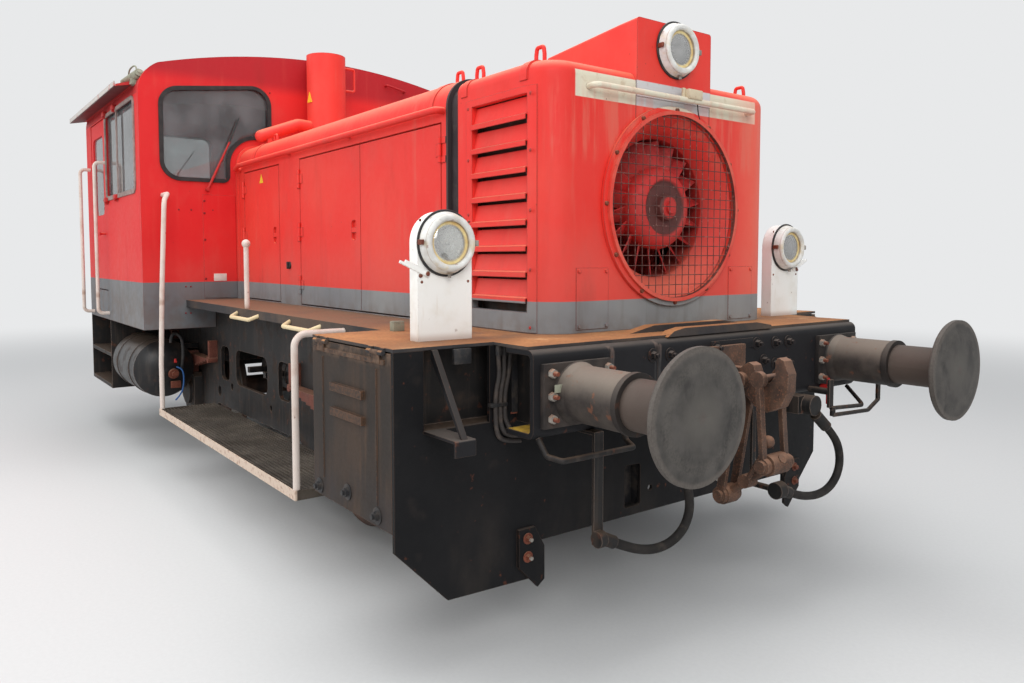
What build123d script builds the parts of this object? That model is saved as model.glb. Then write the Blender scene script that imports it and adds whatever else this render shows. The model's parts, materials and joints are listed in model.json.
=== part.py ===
"""Two-axle diesel shunting locomotive with a long front hood and a rear cab.

Millimetres. +X points to the hood end, +Y to the vehicle's left, +Z up.
z = 0 is the tip of the wheel flanges, and the origin is under the middle of the buffers.
"""
from build123d import *
import os
from math import pi, radians, tan

# Driving dimensions of the running gear
wheel_base = 2800
wheel_diameter = 850
flange_height = 30
gauge_inside = 1360
wheel_width = 135
axle_radius = 85
journal_radius = 62
journal_end_y = 985
axle_box_half = 135
axle_box_top = 165
spring_width = 72
spring_gap = 3
running_gap = 6
bearing_gap = 0.4

# Driving dimensions of the frame and deck
length_over_buffers = 7830
buffer_length = 610
buffer_spacing = 1750
buffer_z = 1067
deck_z = 1248
deck_thickness = 12
frame_plate_y = 957
frame_plate_thickness = 27
frame_bottom_z = 430
horn_bottom_z = 330
horn_top_z = 640
beam_half_width = 1073
beam_depth = 328
beam_flange = 165
beam_sheet = 20
beam_bend = 34
walkway_y = 1180
deck_ledge = 125
platform_top_z = 475
platform_set_in = 35
platform_inner_y = 1058
platform_x = (-590, 1985)
apron_x = 3056
apron_sheet = 16
apron_overhang = 38

# Driving dimensions of the side boxes in front
box_rear_x = 2351
box_outer_y = 1506
box_far_front_x = 2800
box_bottom_z = 578
box_wall = 20
box_door_thickness = 30
recess_y = 1381
recess_z = 938

# Driving dimensions of the hood
hood_half_width = 765
hood_wall = 30
hood_top_z = 2445
hood_crown = 22
hood_corner = 150
hood_rail_z = 2281
hood_front_x = 3000
hood_split_x = 2344
gaiter_length = 92
hood_flange = 20
radiator_top_z = 2400
radiator_corner = 160
radiator_edge = 60

# Driving dimensions of the cab
cab_front_x = -835
cab_rear_x = -3010
cab_half_width = 1485
cab_wall = 40
cab_bottom_z = 1030
cab_floor_z = 1262
cab_shoulder_z = 2790
cab_eave_z = 3020
cab_crown_z = 3205
cab_door_rear_x = -2765
cab_door_front_x = -2160
door_gap = 8

# Hinges of every door and flap
hinge_radius = 9
hinge_gap = 0.3
hinge_heights = (1390, 1742, 2095)
cab_hinge_heights = (1480, 2030, 2600)

# Driving dimensions of the fan
fan_z = 1806
fan_ring_radius = 460
fan_opening_radius = 428
fan_rotor_radius = 320
fan_tip_gap = 8
fan_blade_count = 18
fan_hub_radius = 192
fan_shaft_radius = 30
guard_pitch = 45
guard_wire_radius = 1.8

# Height of the engine feet
engine_bottom_z = 945

PARTS = "parts"
buffer_face_x = length_over_buffers / 2
beam_face_x = buffer_face_x - buffer_length
beam_top_z = deck_z - deck_thickness
beam_bottom_z = beam_top_z - beam_depth
wheel_radius = wheel_diameter / 2
axle_z = flange_height + wheel_radius
axle_x = wheel_base / 2
buffer_y = buffer_spacing / 2
frame_inner_y = frame_plate_y - frame_plate_thickness
platform_outer_y = cab_half_width - platform_set_in
hood_rear_x = hood_split_x - gaiter_length


def block(x, y, z):
    """Box between three (low, high) pairs."""
    size = [high - low for low, high in (x, y, z)]
    middle = [(high + low) / 2 for low, high in (x, y, z)]
    return Pos(*middle) * Box(*size)


def rod_x(radius, x, y, z):
    return Pos((x[0] + x[1]) / 2, y, z) * Rot(0, 90, 0) * Cylinder(radius, x[1] - x[0])


def rod_y(radius, x, y, z):
    return Pos(x, (y[0] + y[1]) / 2, z) * Rot(90, 0, 0) * Cylinder(radius, y[1] - y[0])


def rod_z(radius, x, y, z):
    return Pos(x, y, (z[0] + z[1]) / 2) * Cylinder(radius, z[1] - z[0])


def prism_x(points, x):
    """Outline of (y, z) points, extruded between two x values."""
    face = Plane.YZ * make_face(Polyline(*points, close=True))
    return Pos(x[0], 0, 0) * extrude(face, x[1] - x[0])


def prism_y(points, y):
    """Outline of (x, z) points, extruded between two y values."""
    face = Plane.XZ * make_face(Polyline(*points, close=True))
    return Pos(0, y[1], 0) * extrude(face, y[1] - y[0])


def prism_z(points, z):
    """Outline of (x, y) points, extruded between two z values."""
    face = make_face(Polyline(*points, close=True))
    return Pos(0, 0, z[0]) * extrude(face, z[1] - z[0])


def round_block_y(x, z, y, radius):
    """Plate with rounded corners seen along y, used for windows and cut-outs."""
    face = Plane.XZ * Pos((x[0] + x[1]) / 2, (z[0] + z[1]) / 2) * RectangleRounded(
        x[1] - x[0], z[1] - z[0], radius)
    return Pos(0, y[1], 0) * extrude(face, y[1] - y[0])


def round_block_x(y, z, x, radius):
    face = Plane.YZ * Pos((y[0] + y[1]) / 2, (z[0] + z[1]) / 2) * RectangleRounded(
        y[1] - y[0], z[1] - z[0], radius)
    return Pos(x[0], 0, 0) * extrude(face, x[1] - x[0])


def tube(points, diameter, bend):
    """Round bar along straight runs joined by tangent arcs of one bend radius."""
    path = FilletPolyline(*points, radius=bend)
    section = Plane(origin=path @ 0, z_dir=path % 0) * Circle(diameter / 2)
    return sweep(section, path=path)


def far(shape):
    """The same piece on the other side of the vehicle."""
    return mirror(shape, Plane.XZ)


def rear(shape):
    """The same piece at the other end of the vehicle."""
    return mirror(shape, Plane.YZ)


def sides(shape):
    return [shape, far(shape)]


def corners(shape):
    return [shape, far(shape), rear(shape), rear(far(shape))]


def join(shapes):
    """All shapes fused into one."""
    shapes = list(shapes)
    return shapes[0].fuse(*shapes[1:]) if len(shapes) > 1 else shapes[0]


def save(name, shapes):
    solids = [solid for shape in shapes for solid in shape.solids()]
    export_step(Compound(solids), os.path.join(PARTS, name + ".step"))


# Running gear

def wheelset():
    """Two flanged wheels on their axle, about the y axis at the origin."""
    back = gauge_inside / 2
    front = back + wheel_width
    rim = 62
    web = 26
    hub = 130
    middle = (back + front) / 2
    outline = [
        (axle_radius - 5, back - 15),
        (hub, back - 15),
        (hub + 12, middle - web / 2),
        (wheel_radius - rim, middle - web / 2 + 12),
        (wheel_radius - rim + 8, back),
        (wheel_radius + flange_height - 6, back),
        (wheel_radius + flange_height, back + 12),
        (wheel_radius + flange_height - 8, back + 26),
        (wheel_radius + 2, back + 38),
        (wheel_radius - 1.5, front - 8),
        (wheel_radius - 9, front),
        (wheel_radius - rim + 8, front),
        (wheel_radius - rim, middle + web / 2 + 12),
        (hub + 12, middle + web / 2),
        (hub, front + 10),
        (axle_radius - 5, front + 10),
    ]
    wheel = revolve(make_face(Polyline(*outline, close=True)), Axis.Y)
    shoulder = front + 22
    axle = rod_y(axle_radius, 0, (-shoulder, shoulder), 0)
    journals = rod_y(journal_radius, 0, (-journal_end_y, journal_end_y), 0)
    return join([axle, journals, wheel, far(wheel)])


def axle_box():
    """Bearing housing at one journal, carried in the horn of the frame plate."""
    half = axle_box_half
    inner = journal_end_y - 123
    outer = journal_end_y + 37
    body = block((axle_x - half, axle_x + half), (-outer, -inner), (axle_z - 150, axle_z + axle_box_top))
    body = chamfer(body.edges().filter_by(Axis.Y), 30)
    lid = rod_y(105, axle_x, (-outer - 28, -outer), axle_z)
    bore = rod_y(journal_radius + bearing_gap, axle_x, (-journal_end_y - running_gap, -inner + 1), axle_z)
    return join([body, lid]) - bore


def leaf_spring():
    """Stack of leaves over the axle box, with its buckle."""
    leaf_thickness = 14
    leaf_count = 7
    longest = 560
    step = 68
    y = (-frame_plate_y - spring_gap - spring_width, -frame_plate_y - spring_gap)
    seat_z = axle_z + axle_box_top
    leaves = []
    for number in range(leaf_count):
        half = longest - step * (leaf_count - 1 - number)
        low = seat_z + 62 + number * leaf_thickness
        leaves.append(block((axle_x - half, axle_x + half), y, (low, low + leaf_thickness)))
    buckle = block((axle_x - 55, axle_x + 55), (y[0] - 3, y[1] + 1), (seat_z, seat_z + 178))
    eye_z = seat_z + 62 + (leaf_count - 0.5) * leaf_thickness
    eyes = [rod_y(24, axle_x + side * longest, y, eye_z) for side in (-1, 1)]
    hangers = [block((axle_x + side * longest - 18, axle_x + side * longest + 18),
                     (y[0] + 10, -frame_plate_y), (eye_z, eye_z + 150)) for side in (-1, 1)]
    return join(leaves + [buckle] + eyes + hangers)


def brake_rigging():
    """Block and hanger on the outer side of one wheel."""
    wheel_y = gauge_inside / 2 + wheel_width / 2 + 12
    y = (-wheel_y - 38, -wheel_y + 38)
    ring = rod_y(wheel_radius + 62, 0, y, 0) - rod_y(wheel_radius + 12, 0, (y[0] - 1, y[1] + 1), 0)
    shoe = Pos(axle_x, 0, axle_z) * (ring & block((300, 600), (y[0] - 1, y[1] + 1), (-150, 150)))
    hanger = block((axle_x + wheel_radius + 40, axle_x + wheel_radius + 66),
                   (y[0] + 18, y[1] - 18), (axle_z - 40, 900))
    shaft = rod_y(26, axle_x + wheel_radius + 53, (-frame_inner_y, y[1] - 18), 886)
    return join([shoe, hanger, shaft])


# Frame, deck and ends

def frame_plate():
    """Outside frame plate of one side with its tongue into the end beam."""
    tongue_x = beam_face_x - beam_bend - 1
    end_x = apron_x - apron_sheet
    horn = axle_box_half + running_gap
    toe = 460
    half = [
        (end_x, beam_top_z),
        (end_x, beam_top_z - beam_sheet),
        (tongue_x, beam_top_z - beam_sheet),
        (tongue_x, beam_bottom_z + beam_sheet),
        (end_x, beam_bottom_z + beam_sheet),
        (end_x, horn_top_z - 20),
        (axle_x + toe + 240, horn_top_z - 20),
        (axle_x + toe, horn_bottom_z),
        (axle_x + horn, horn_bottom_z),
        (axle_x + horn, horn_top_z),
        (axle_x - horn, horn_top_z),
        (axle_x - horn, horn_bottom_z),
        (axle_x - toe, horn_bottom_z),
        (axle_x - toe - 110, frame_bottom_z),
    ]
    outline = half + [(-x, z) for x, z in reversed(half)]
    plate = prism_y(outline, (-frame_plate_y, -frame_inner_y))
    cut_y = (-frame_plate_y - 5, -frame_inner_y + 5)
    # x low, x high, z low, z high, corner radius
    windows = [
        (-383, 272, 632, 892, 70),
        (476, 683, 646, 896, 50),
        (-741, -534, 633, 894, 60),
        (2150, 2290, 700, 900, 50),
        (-2290, -2150, 700, 900, 50),
    ]
    for x_low, x_high, z_low, z_high, radius in windows:
        plate -= round_block_y((x_low, x_high), (z_low, z_high), cut_y, radius)
    # x, z, radius
    holes = [(-790, 530, 42), (-482, 600, 28), (330, 560, 22), (740, 560, 42)]
    for x, z, radius in holes:
        plate -= rod_y(radius, x, cut_y, z)
    return plate


def frame():
    """Both frame plates with the stretchers between them."""
    plates = sides(frame_plate())
    y = (-frame_inner_y, frame_inner_y)
    # x, z low, z high
    stretchers = [
        (-2300, 700, beam_top_z),
        (-800, 760, beam_top_z),
        (640, 700, engine_bottom_z),
        (2330, 700, beam_top_z),
    ]
    cross = [block((x - 10, x + 10), y, (low, high)) for x, low, high in stretchers]
    return join(plates + cross)


def headstock():
    """Bent channel across the front end."""
    low = beam_bottom_z
    high = beam_top_z
    back = beam_face_x - beam_flange
    front = beam_face_x
    outer = make_face(Polyline((back, low), (front, low), (front, high), (back, high), close=True))
    outer = fillet(outer.vertices().sort_by(Axis.X)[-2:], beam_bend)
    sheet = beam_sheet
    inner = make_face(Polyline((back - 5, low + sheet), (front - sheet, low + sheet),
                               (front - sheet, high - sheet), (back - 5, high - sheet), close=True))
    inner = fillet(inner.vertices().sort_by(Axis.X)[-2:], beam_bend - sheet)
    section = Plane.XZ * (outer - inner)
    return Pos(0, beam_half_width, 0) * extrude(section, 2 * beam_half_width)


def apron(front):
    """Plate under the end beam. The front one widens in front of the near side box."""
    low_middle = 421
    leg_inner = beam_half_width - 244
    edge = beam_half_width + apron_overhang
    far_points = [
        (edge, beam_top_z), (edge, 500), (leg_inner + 76, 290), (leg_inner, 290), (leg_inner, low_middle),
    ]
    near_front = [
        (-leg_inner, low_middle),
        (-leg_inner, 272),
        (-box_outer_y + 224, 285),
        (-box_outer_y, 512),
        (-box_outer_y, beam_top_z),
        (-recess_y, beam_top_z),
        (-recess_y, recess_z),
        (-beam_half_width - 17, recess_z),
        (-beam_half_width - 17, beam_top_z),
    ]
    mirrored = [(-y, z) for y, z in reversed(far_points)]
    points = far_points + (near_front if front else mirrored)
    plate = prism_x(points, (apron_x - apron_sheet, apron_x))
    for side in (-1, 1):
        slot_y = tuple(sorted((side * frame_inner_y, side * frame_plate_y)))
        plate -= block((apron_x - 30, apron_x + 10), slot_y,
                       (beam_bottom_z + beam_sheet, beam_top_z - beam_sheet))
    if front:
        plate -= round_block_x((-356, -258), (459, 648), (apron_x - 30, apron_x + 10), 12)
        plate -= rod_x(14, (apron_x - 30, apron_x + 10), -194, 525)
        return plate
    return rear(plate)


def guard_iron():
    """Small pointed bracket bolted low on the apron, above the rail."""
    points = [(-957, 335), (-957, 487), (-874, 487), (-826, 400), (-826, 262), (-862, 236)]
    return prism_x(points, (apron_x, apron_x + 14))


def front_step():
    """Shunter's step in front of the near corner with its flat diagonal."""
    y = (-recess_y - 4, -recess_y + 81)
    top = recess_z + 4
    nose_x = apron_x + 216
    tread = make_face(Polyline((apron_x, top - 10), (nose_x - 10, top - 10), (nose_x - 10, top - 58),
                               (nose_x, top - 58), (nose_x, top), (apron_x, top), close=True))
    tread = fillet(tread.vertices().sort_by_distance((nose_x, top))[0], 9)
    tread = Pos(0, y[1], 0) * extrude(Plane.XZ * tread, y[1] - y[0])
    bar = prism_y([(apron_x, beam_top_z - 36), (apron_x, beam_top_z), (apron_x + 10, beam_top_z),
                   (nose_x - 10, top), (nose_x - 22, top)], (y[0] + 33, y[0] + 57))
    return join([tread, bar])


def deck():
    """Walkway plate round the hood, stepped out over the side boxes."""
    front = beam_face_x - beam_bend
    near_side = [
        (front, -beam_half_width), (apron_x, -beam_half_width), (apron_x, -box_outer_y),
        (box_rear_x, -box_outer_y), (box_rear_x, -walkway_y), (cab_front_x + 3, -walkway_y),
        (cab_front_x + 3, -frame_plate_y), (-front, -frame_plate_y),
    ]
    apron_edge = beam_half_width + apron_overhang
    far_side = [
        (-front, frame_plate_y), (cab_front_x + 3, frame_plate_y), (cab_front_x + 3, walkway_y),
        (box_rear_x, walkway_y), (box_rear_x, box_outer_y), (box_far_front_x, box_outer_y),
        (box_far_front_x, apron_edge), (apron_x, apron_edge),
        (apron_x, beam_half_width), (front, beam_half_width),
    ]
    plate = prism_z(near_side + far_side, (beam_top_z, deck_z))
    rear_plate = block((-front, cab_rear_x - 3), (-beam_half_width, beam_half_width), (beam_top_z, deck_z))
    well_half = hood_half_width - deck_ledge
    well = block((cab_front_x + 75, hood_split_x - 44), (-well_half, well_half), (beam_top_z - 5, deck_z + 5))
    return join([plate, rear_plate]) - well


def deck_edges():
    """Strips hanging under the walkway's edges, and the fixed knuckles of the flaps."""
    edge = 40
    strip = block((cab_front_x + 3, box_rear_x - 2), (-walkway_y, -walkway_y + 6),
                  (beam_top_z - edge, beam_top_z))
    near_hinges = flap_hinges(apron_x - apron_sheet - 2)[1]
    far_hinges = [far(piece) for piece in flap_hinges(box_far_front_x)[1]]
    return sides(strip) + near_hinges + far_hinges


def side_box(front_x, notch):
    """Open-fronted box under the deck; its outer wall is a flap."""
    outer = box_outer_y - box_door_thickness - running_gap
    inner = frame_plate_y
    body = block((box_rear_x, front_x), (-outer, -inner), (box_bottom_z, beam_top_z))
    hollow = block((box_rear_x + box_wall, front_x - box_wall), (-outer - 5, -inner - box_wall),
                   (box_bottom_z + box_wall, beam_top_z - box_wall))
    if notch:
        hollow = block((box_rear_x + box_wall, front_x - 110), (-outer - 5, -inner - box_wall),
                       (box_bottom_z + box_wall, beam_top_z - box_wall))
        corner = block((front_x - 90, front_x + 5), (-recess_y, -inner + 5), (recess_z, beam_top_z + 5))
        return body - hollow - corner
    return body - hollow


def side_box_flap(front_x):
    """Outer wall of a side box, hinged along its top edge, with louvres and beads."""
    y = (-box_outer_y, -box_outer_y + box_door_thickness)
    x = (box_rear_x, front_x)
    top = beam_top_z - running_gap
    flap = block(x, y, (box_bottom_z, top))
    length = x[1] - x[0]
    for z in (1055, 956):
        flap += block((x[0] + 0.29 * length, x[0] + 0.7 * length), (y[0] - 16, y[0]), (z - 16, z + 16))
    for share in (0.15, 0.84):
        flap += rod_z(5, x[0] + share * length, y[0], (660, 1165))
    flap += block((x[0] + 30, x[1] - 45), (y[0] - 6, y[0]), (1186, 1204))
    return join([flap] + flap_hinges(front_x)[0])


def flap_hinges(front_x):
    """Knuckles of a flap and the fixed ones beside them at the deck edge."""
    axis_y = -box_outer_y - hinge_radius - hinge_gap
    axis_z = beam_top_z - running_gap
    leaf = []
    fixed = []
    for middle in (box_rear_x + 100, front_x - 100):
        for low, high, group, strap_z in (
                (middle - 30, middle + 30, leaf, (axis_z - 40, axis_z)),
                (middle + 30 + hinge_gap, middle + 60, fixed, (axis_z, deck_z)),
                (middle - 60, middle - 30 - hinge_gap, fixed, (axis_z, deck_z))):
            group.append(join([rod_x(hinge_radius, (low, high), axis_y, axis_z),
                               block((low, high), (axis_y, -box_outer_y), strap_z)]))
    return leaf, fixed


def grating():
    """Low platform beside the frame: pale edge frame with long bars."""
    x = platform_x
    y = (-platform_outer_y, -platform_inner_y)
    top = platform_top_z
    rim = 8
    height = 46
    rails = [
        block(x, (y[0], y[0] + rim), (top - height, top)),
        block(x, (y[1] - rim, y[1]), (top - height, top)),
        block((x[0], x[0] + rim), y, (top - height, top)),
        block((x[1] - rim, x[1]), y, (top - height, top)),
    ]
    count = 16
    pitch = (y[1] - y[0]) / (count + 1)
    for number in range(1, count + 1):
        middle = y[0] + pitch * number
        rails.append(block(x, (middle - 3, middle + 3), (top - 22, top - 2)))
    for number in range(1, 6):
        middle = x[0] + (x[1] - x[0]) * number / 6
        rails.append(block((middle - 5, middle + 5), y, (top - height, top - 22)))
    for middle in (-300, 700):
        rails.append(block((middle - 30, middle + 30), (y[0] + 40, -frame_plate_y),
                           (top - height - 30, top - height)))
    return join(rails)


def cab_step():
    """Steps under the cab door between two cheek plates."""
    x = (-apron_x + apron_sheet + 4, cab_door_front_x + 35)
    y = (-cab_half_width + 5, -frame_plate_y)
    sheet = 8
    cheeks = [block((edge, edge + sheet), y, (425, cab_bottom_z)) for edge in (x[0], x[1] - sheet)]
    back = block(x, (y[1] - sheet, y[1]), (425, cab_bottom_z))
    treads = [block(x, y, (top - 30, top)) for top in (455, 735)]
    return join(cheeks + [back] + treads)


def air_tank(x, y, z, radius, arm_z):
    """Tank with dished ends, two straps and the arms that carry it from the frame plate."""
    dish = radius * 0.32
    ball = (radius ** 2 + dish ** 2) / (2 * dish)
    half_way = radius / 2
    bulge = ball - (ball ** 2 - half_way ** 2) ** 0.5
    profile = make_face([
        ThreePointArc((x[0], 0), (x[0] + bulge, half_way), (x[0] + dish, radius)),
        Line((x[0] + dish, radius), (x[1] - dish, radius)),
        ThreePointArc((x[1] - dish, radius), (x[1] - bulge, half_way), (x[1], 0)),
        Line((x[1], 0), (x[0], 0)),
    ])
    pieces = [Pos(0, y, z) * revolve(profile, Axis.X)]
    plate_y = -frame_plate_y if y < -frame_plate_y else -frame_inner_y
    for share in (0.25, 0.72):
        middle = x[0] + share * (x[1] - x[0])
        pieces.append(rod_x(radius + 6, (middle - 22, middle + 22), y, z))
        arm_y = tuple(sorted((y, plate_y)))
        pieces.append(block((middle - 20, middle + 20), arm_y, (arm_z - 20, arm_z + 20)))
    return join(pieces)


# Ends: buffers, coupling and hoses

buffer_plate = 22
buffer_plate_height = 238
buffer_plate_width = 330
buffer_case_radius = 107
buffer_case_length = 330
buffer_plunger_radius = 92
buffer_head_radius = 226
buffer_head_thickness = 34


def buffer_housing():
    face = beam_face_x
    plate = block((face, face + buffer_plate),
                  (-buffer_y - buffer_plate_width / 2, -buffer_y + buffer_plate_width / 2),
                  (buffer_z - buffer_plate_height / 2, buffer_z + buffer_plate_height / 2))
    case = rod_x(buffer_case_radius, (face + buffer_plate, face + buffer_case_length), -buffer_y, buffer_z)
    lip = rod_x(buffer_case_radius + 5, (face + buffer_case_length - 24, face + buffer_case_length),
                -buffer_y, buffer_z)
    collar = Pos(face + buffer_plate + 20, -buffer_y, buffer_z) * Rot(0, 90, 0) * Cone(
        buffer_case_radius + 12, buffer_case_radius, 40)
    return join([plate, case, lip, collar])


def buffer_head():
    """Plunger with its round, slightly domed head."""
    start = beam_face_x + buffer_case_length
    neck = buffer_face_x - buffer_head_thickness
    dome = 9
    outline = [
        (start, 0), (start, buffer_plunger_radius), (neck - 60, buffer_plunger_radius),
        (neck - 8, buffer_plunger_radius + 26), (neck, buffer_head_radius - 6),
        (neck + 8, buffer_head_radius), (buffer_face_x - dome, buffer_head_radius),
    ]
    edge = Polyline(*outline)
    ball = (buffer_head_radius ** 2 + dome ** 2) / (2 * dome)
    half_way = buffer_head_radius / 2
    face_arc = ThreePointArc((buffer_face_x - dome, buffer_head_radius),
                             (buffer_face_x - ball + (ball ** 2 - half_way ** 2) ** 0.5, half_way),
                             (buffer_face_x, 0))
    close = Line((buffer_face_x, 0), (start, 0))
    profile = make_face([edge, face_arc, close])
    return Pos(0, -buffer_y, buffer_z) * revolve(profile, Axis.X)


def draw_hook():
    """Hook with its shank through a guide plate on the beam."""
    half = 27
    # outline of the hook seen from the side as x offset from the beam face and z offset from its axis
    outline = [
        (0, -34), (90, -34), (130, -72), (178, -118), (245, -140), (310, -110), (342, -44),
        (345, 30), (322, 84), (292, 96), (282, 74), (284, 20), (258, -14), (214, -18),
        (192, 8), (176, 52), (150, 62), (110, 34), (0, 34),
    ]
    points = [(beam_face_x + x, buffer_z + z) for x, z in outline]
    hook = prism_y(points, (-half, half))
    hook = fillet(hook.edges().filter_by(Axis.Y).filter_by_position(
        Axis.X, beam_face_x + 80, beam_face_x + 400), 8)
    guide = block((beam_face_x, beam_face_x + 26), (-120, 120), (buffer_z - 120, buffer_z + 120))
    guide -= block((beam_face_x - 5, beam_face_x + 40), (-half - 1, half + 1), (buffer_z - 35, buffer_z + 35))
    eye = rod_y(34, beam_face_x + 118, (-37.7, 37.7), buffer_z - 18)
    return [join([hook, eye]), guide]


def screw_coupling():
    """Links, screw and bow of the coupling, hung up on its own hook."""
    neck = (beam_face_x + 118, buffer_z - 18)
    lower = (beam_face_x + 30, 530)
    upper = (beam_face_x + 268, 712)
    mouth = (beam_face_x + 238, buffer_z + 2)
    pieces = []
    for side in (-1, 1):
        y = side * 47
        pieces.append(link_bar(neck, lower, y, 9, 31, 36))
        y = side * 74
        pieces.append(link_bar(mouth, upper, y, 14, 17, 34))
    bow = rod_y(17, mouth[0], (-88, 88), mouth[1])
    pin_low = rod_y(24, lower[0], (-70, 70), lower[1])
    nut_low = rod_y(42, lower[0], (-37, 37), lower[1])
    pin_high = rod_y(26, upper[0], (-104, 104), upper[1])
    nut_high = rod_y(44, upper[0], (-57, 57), upper[1])
    angle = (upper[0] - lower[0], upper[1] - lower[1])
    length = (angle[0] ** 2 + angle[1] ** 2) ** 0.5
    direction = Vector(angle[0] / length, 0, angle[1] / length)
    start = Vector(lower[0], 0, lower[1]) - direction * 60
    plane = Plane(origin=start, z_dir=direction)
    screw = plane * Pos(0, 0, (length + 110) / 2) * Cylinder(19, length + 110)
    handle = plane * Pos(0, 0, length / 2 + 45) * Rot(90, 0, 0) * Cylinder(30, 60)
    ball = Pos(upper[0] - 18, -20, upper[1] + 92) * Sphere(27)
    stem = tube([(upper[0] - 118, -20, upper[1] - 90), (upper[0] - 60, -20, upper[1] + 10),
                 (upper[0] - 22, -20, upper[1] + 84)], 20, 40)
    return [join(pieces + [bow, pin_low, nut_low, pin_high, nut_high, screw, handle, stem, ball])]


def link_bar(top, bottom, y, half_thickness, waist, eye):
    """Flat link with round eyes between two pins, at one y."""
    span = (y - half_thickness, y + half_thickness)
    dx = bottom[0] - top[0]
    dz = bottom[1] - top[1]
    length = (dx ** 2 + dz ** 2) ** 0.5
    nx = -dz / length * waist * 0.62
    nz = dx / length * waist * 0.62
    strip = prism_y([(top[0] + nx, top[1] + nz), (bottom[0] + nx, bottom[1] + nz),
                     (bottom[0] - nx, bottom[1] - nz), (top[0] - nx, top[1] - nz)], span)
    ends = [rod_y(eye, top[0], span, top[1]), rod_y(eye, bottom[0], span, bottom[1])]
    return join([strip] + ends)


# The hoses are free hoses: their points are chosen by hand from their hanging shape,
# as distance from the face of the end beam, y and z
hose_diameter = 38
hose_near_route = [
    (47, -712, 470), (51, -640, 436), (57, -560, 408), (65, -478, 398), (73, -400, 414),
    (79, -335, 460), (79, -304, 530), (73, -306, 604), (65, -322, 672),
]
hose_far_route = [
    (135, 598, 770), (143, 654, 720), (147, 694, 656), (149, 704, 582), (149, 674, 514),
    (147, 610, 470), (145, 532, 456), (143, 450, 462), (141, 372, 480), (139, 300, 506),
]
hose_near_points = [(beam_face_x + x, y, z) for x, y, z in hose_near_route]
hose_far_points = [(beam_face_x + x, y, z) for x, y, z in hose_far_route]


def hose(points, name):
    """Plain tube of one hose, with the largest arc at each corner that its runs allow."""
    vectors = [Vector(*point) for point in points]
    radii = []
    for before, here, after in zip(vectors, vectors[1:], vectors[2:]):
        run_in = here - before
        run_out = after - here
        turn = radians(run_in.get_angle(run_out))
        radii.append(0.45 * min(run_in.length, run_out.length) / tan(turn / 2))
    path = FilletPolyline(*points, radius=radii)
    section = Plane(origin=path @ 0, z_dir=path % 0) * Circle(hose_diameter / 2)
    solid = sweep(section, path=path)
    volume = pi * hose_diameter ** 2 / 4 * path.length
    print(name, "length", round(path.length), "radii", [round(radius) for radius in radii],
          "volume ratio", round(solid.volume / volume, 4))
    return solid


def stub(point, towards, length, radius):
    """Fitting behind the end of a hose, along the line of its first run."""
    start = Vector(*point)
    direction = (start - Vector(*towards)).normalized()
    plane = Plane(origin=start, z_dir=direction)
    return plane * Pos(0, 0, length / 2) * Cylinder(radius, length)


def brake_pipes():
    """Hanger with the near cock, holders of the hose heads, the far cock and the grab bar."""
    face = beam_face_x
    low = beam_bottom_z
    near_start = hose_near_points[0]
    hanger_y = (near_start[1] - 88, near_start[1] - 40)
    near_cock = join([
        stub(near_start, hose_near_points[1], 70, 26),
        block((face + 18, face + 30), hanger_y, (near_start[2], low)),
        block((face - 90, face + 30), hanger_y, (low - 12, low)),
        rod_y(32, near_start[0] - 2, (hanger_y[0], hanger_y[0] + 34), near_start[2] + 26),
    ])
    near_end = hose_near_points[-1]
    holder_y = (near_end[1] - 28, near_end[1] + 4)
    near_head = join([
        stub(near_end, hose_near_points[-2], 46, 26),
        rod_z(40, near_end[0] - 8, near_end[1] - 12, (near_end[2] + 40, near_end[2] + 98)),
        block((face - 20, near_end[0] - 8), holder_y, (near_end[2] + 72, near_end[2] + 84)),
        block((face - 20, face - 8), holder_y, (near_end[2] + 72, low)),
    ])
    far_start = hose_far_points[0]
    far_cock = join([
        stub(far_start, hose_far_points[1], 96, 27),
        block((face, face + 95), (430, 500), (842, 926)),
        rod_x(48, (face + 75, face + 141), 500, 880),
    ])
    far_end = hose_far_points[-1]
    arm_y = (far_end[1] - 92, far_end[1] - 66)
    far_head = join([
        stub(far_end, hose_far_points[-2], 60, 27),
        rod_y(38, far_end[0] - 1, (arm_y[0] - 12, arm_y[1] + 12), far_end[2] + 24),
        block((face - 5, far_end[0] - 1), arm_y, (far_end[2] + 14, far_end[2] + 34)),
        block((face - 5, face + 7), arm_y, (far_end[2] + 14, low)),
    ])
    grab_y = (-beam_half_width + 39, -614)
    grab = tube([
        (face - 20, grab_y[0], low),
        (face + 25, grab_y[0] + 4, low - 58),
        (face + 90, grab_y[0] + 24, low - 66),
        (face + 90, grab_y[1] - 36, low - 66),
        (face + 25, grab_y[1] - 6, low - 58),
        (face - 20, grab_y[1], low),
    ], 22, 18)
    return [near_cock, near_head, far_cock, far_head, grab]


def uncoupling_rods():
    """Cross rods under the far buffer with their two handles."""
    face = beam_face_x
    outer_y = beam_half_width + 47
    upper = tube([(face + 115, 672, 846), (face + 105, outer_y - 140, 826),
                  (face - 5, outer_y - 110, beam_bottom_z)], 20, 30)
    lower = tube([(face + 120, 686, 812), (face + 120, outer_y - 120, 800),
                  (face + 107, outer_y, 840)], 20, 30)
    link = rod_z(13, face + 113, 690, (806, 852))
    near_handle = block((face + 105, face + 119), (650, 684), (850, 985))
    far_handle = block((face + 100, face + 114), (outer_y - 14, outer_y + 10), (838, 935))
    pivot = rod_x(16, (face, face + 113), 668, 925)
    return [join([upper, lower, link, near_handle, far_handle, pivot])]


# Lamps

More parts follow.
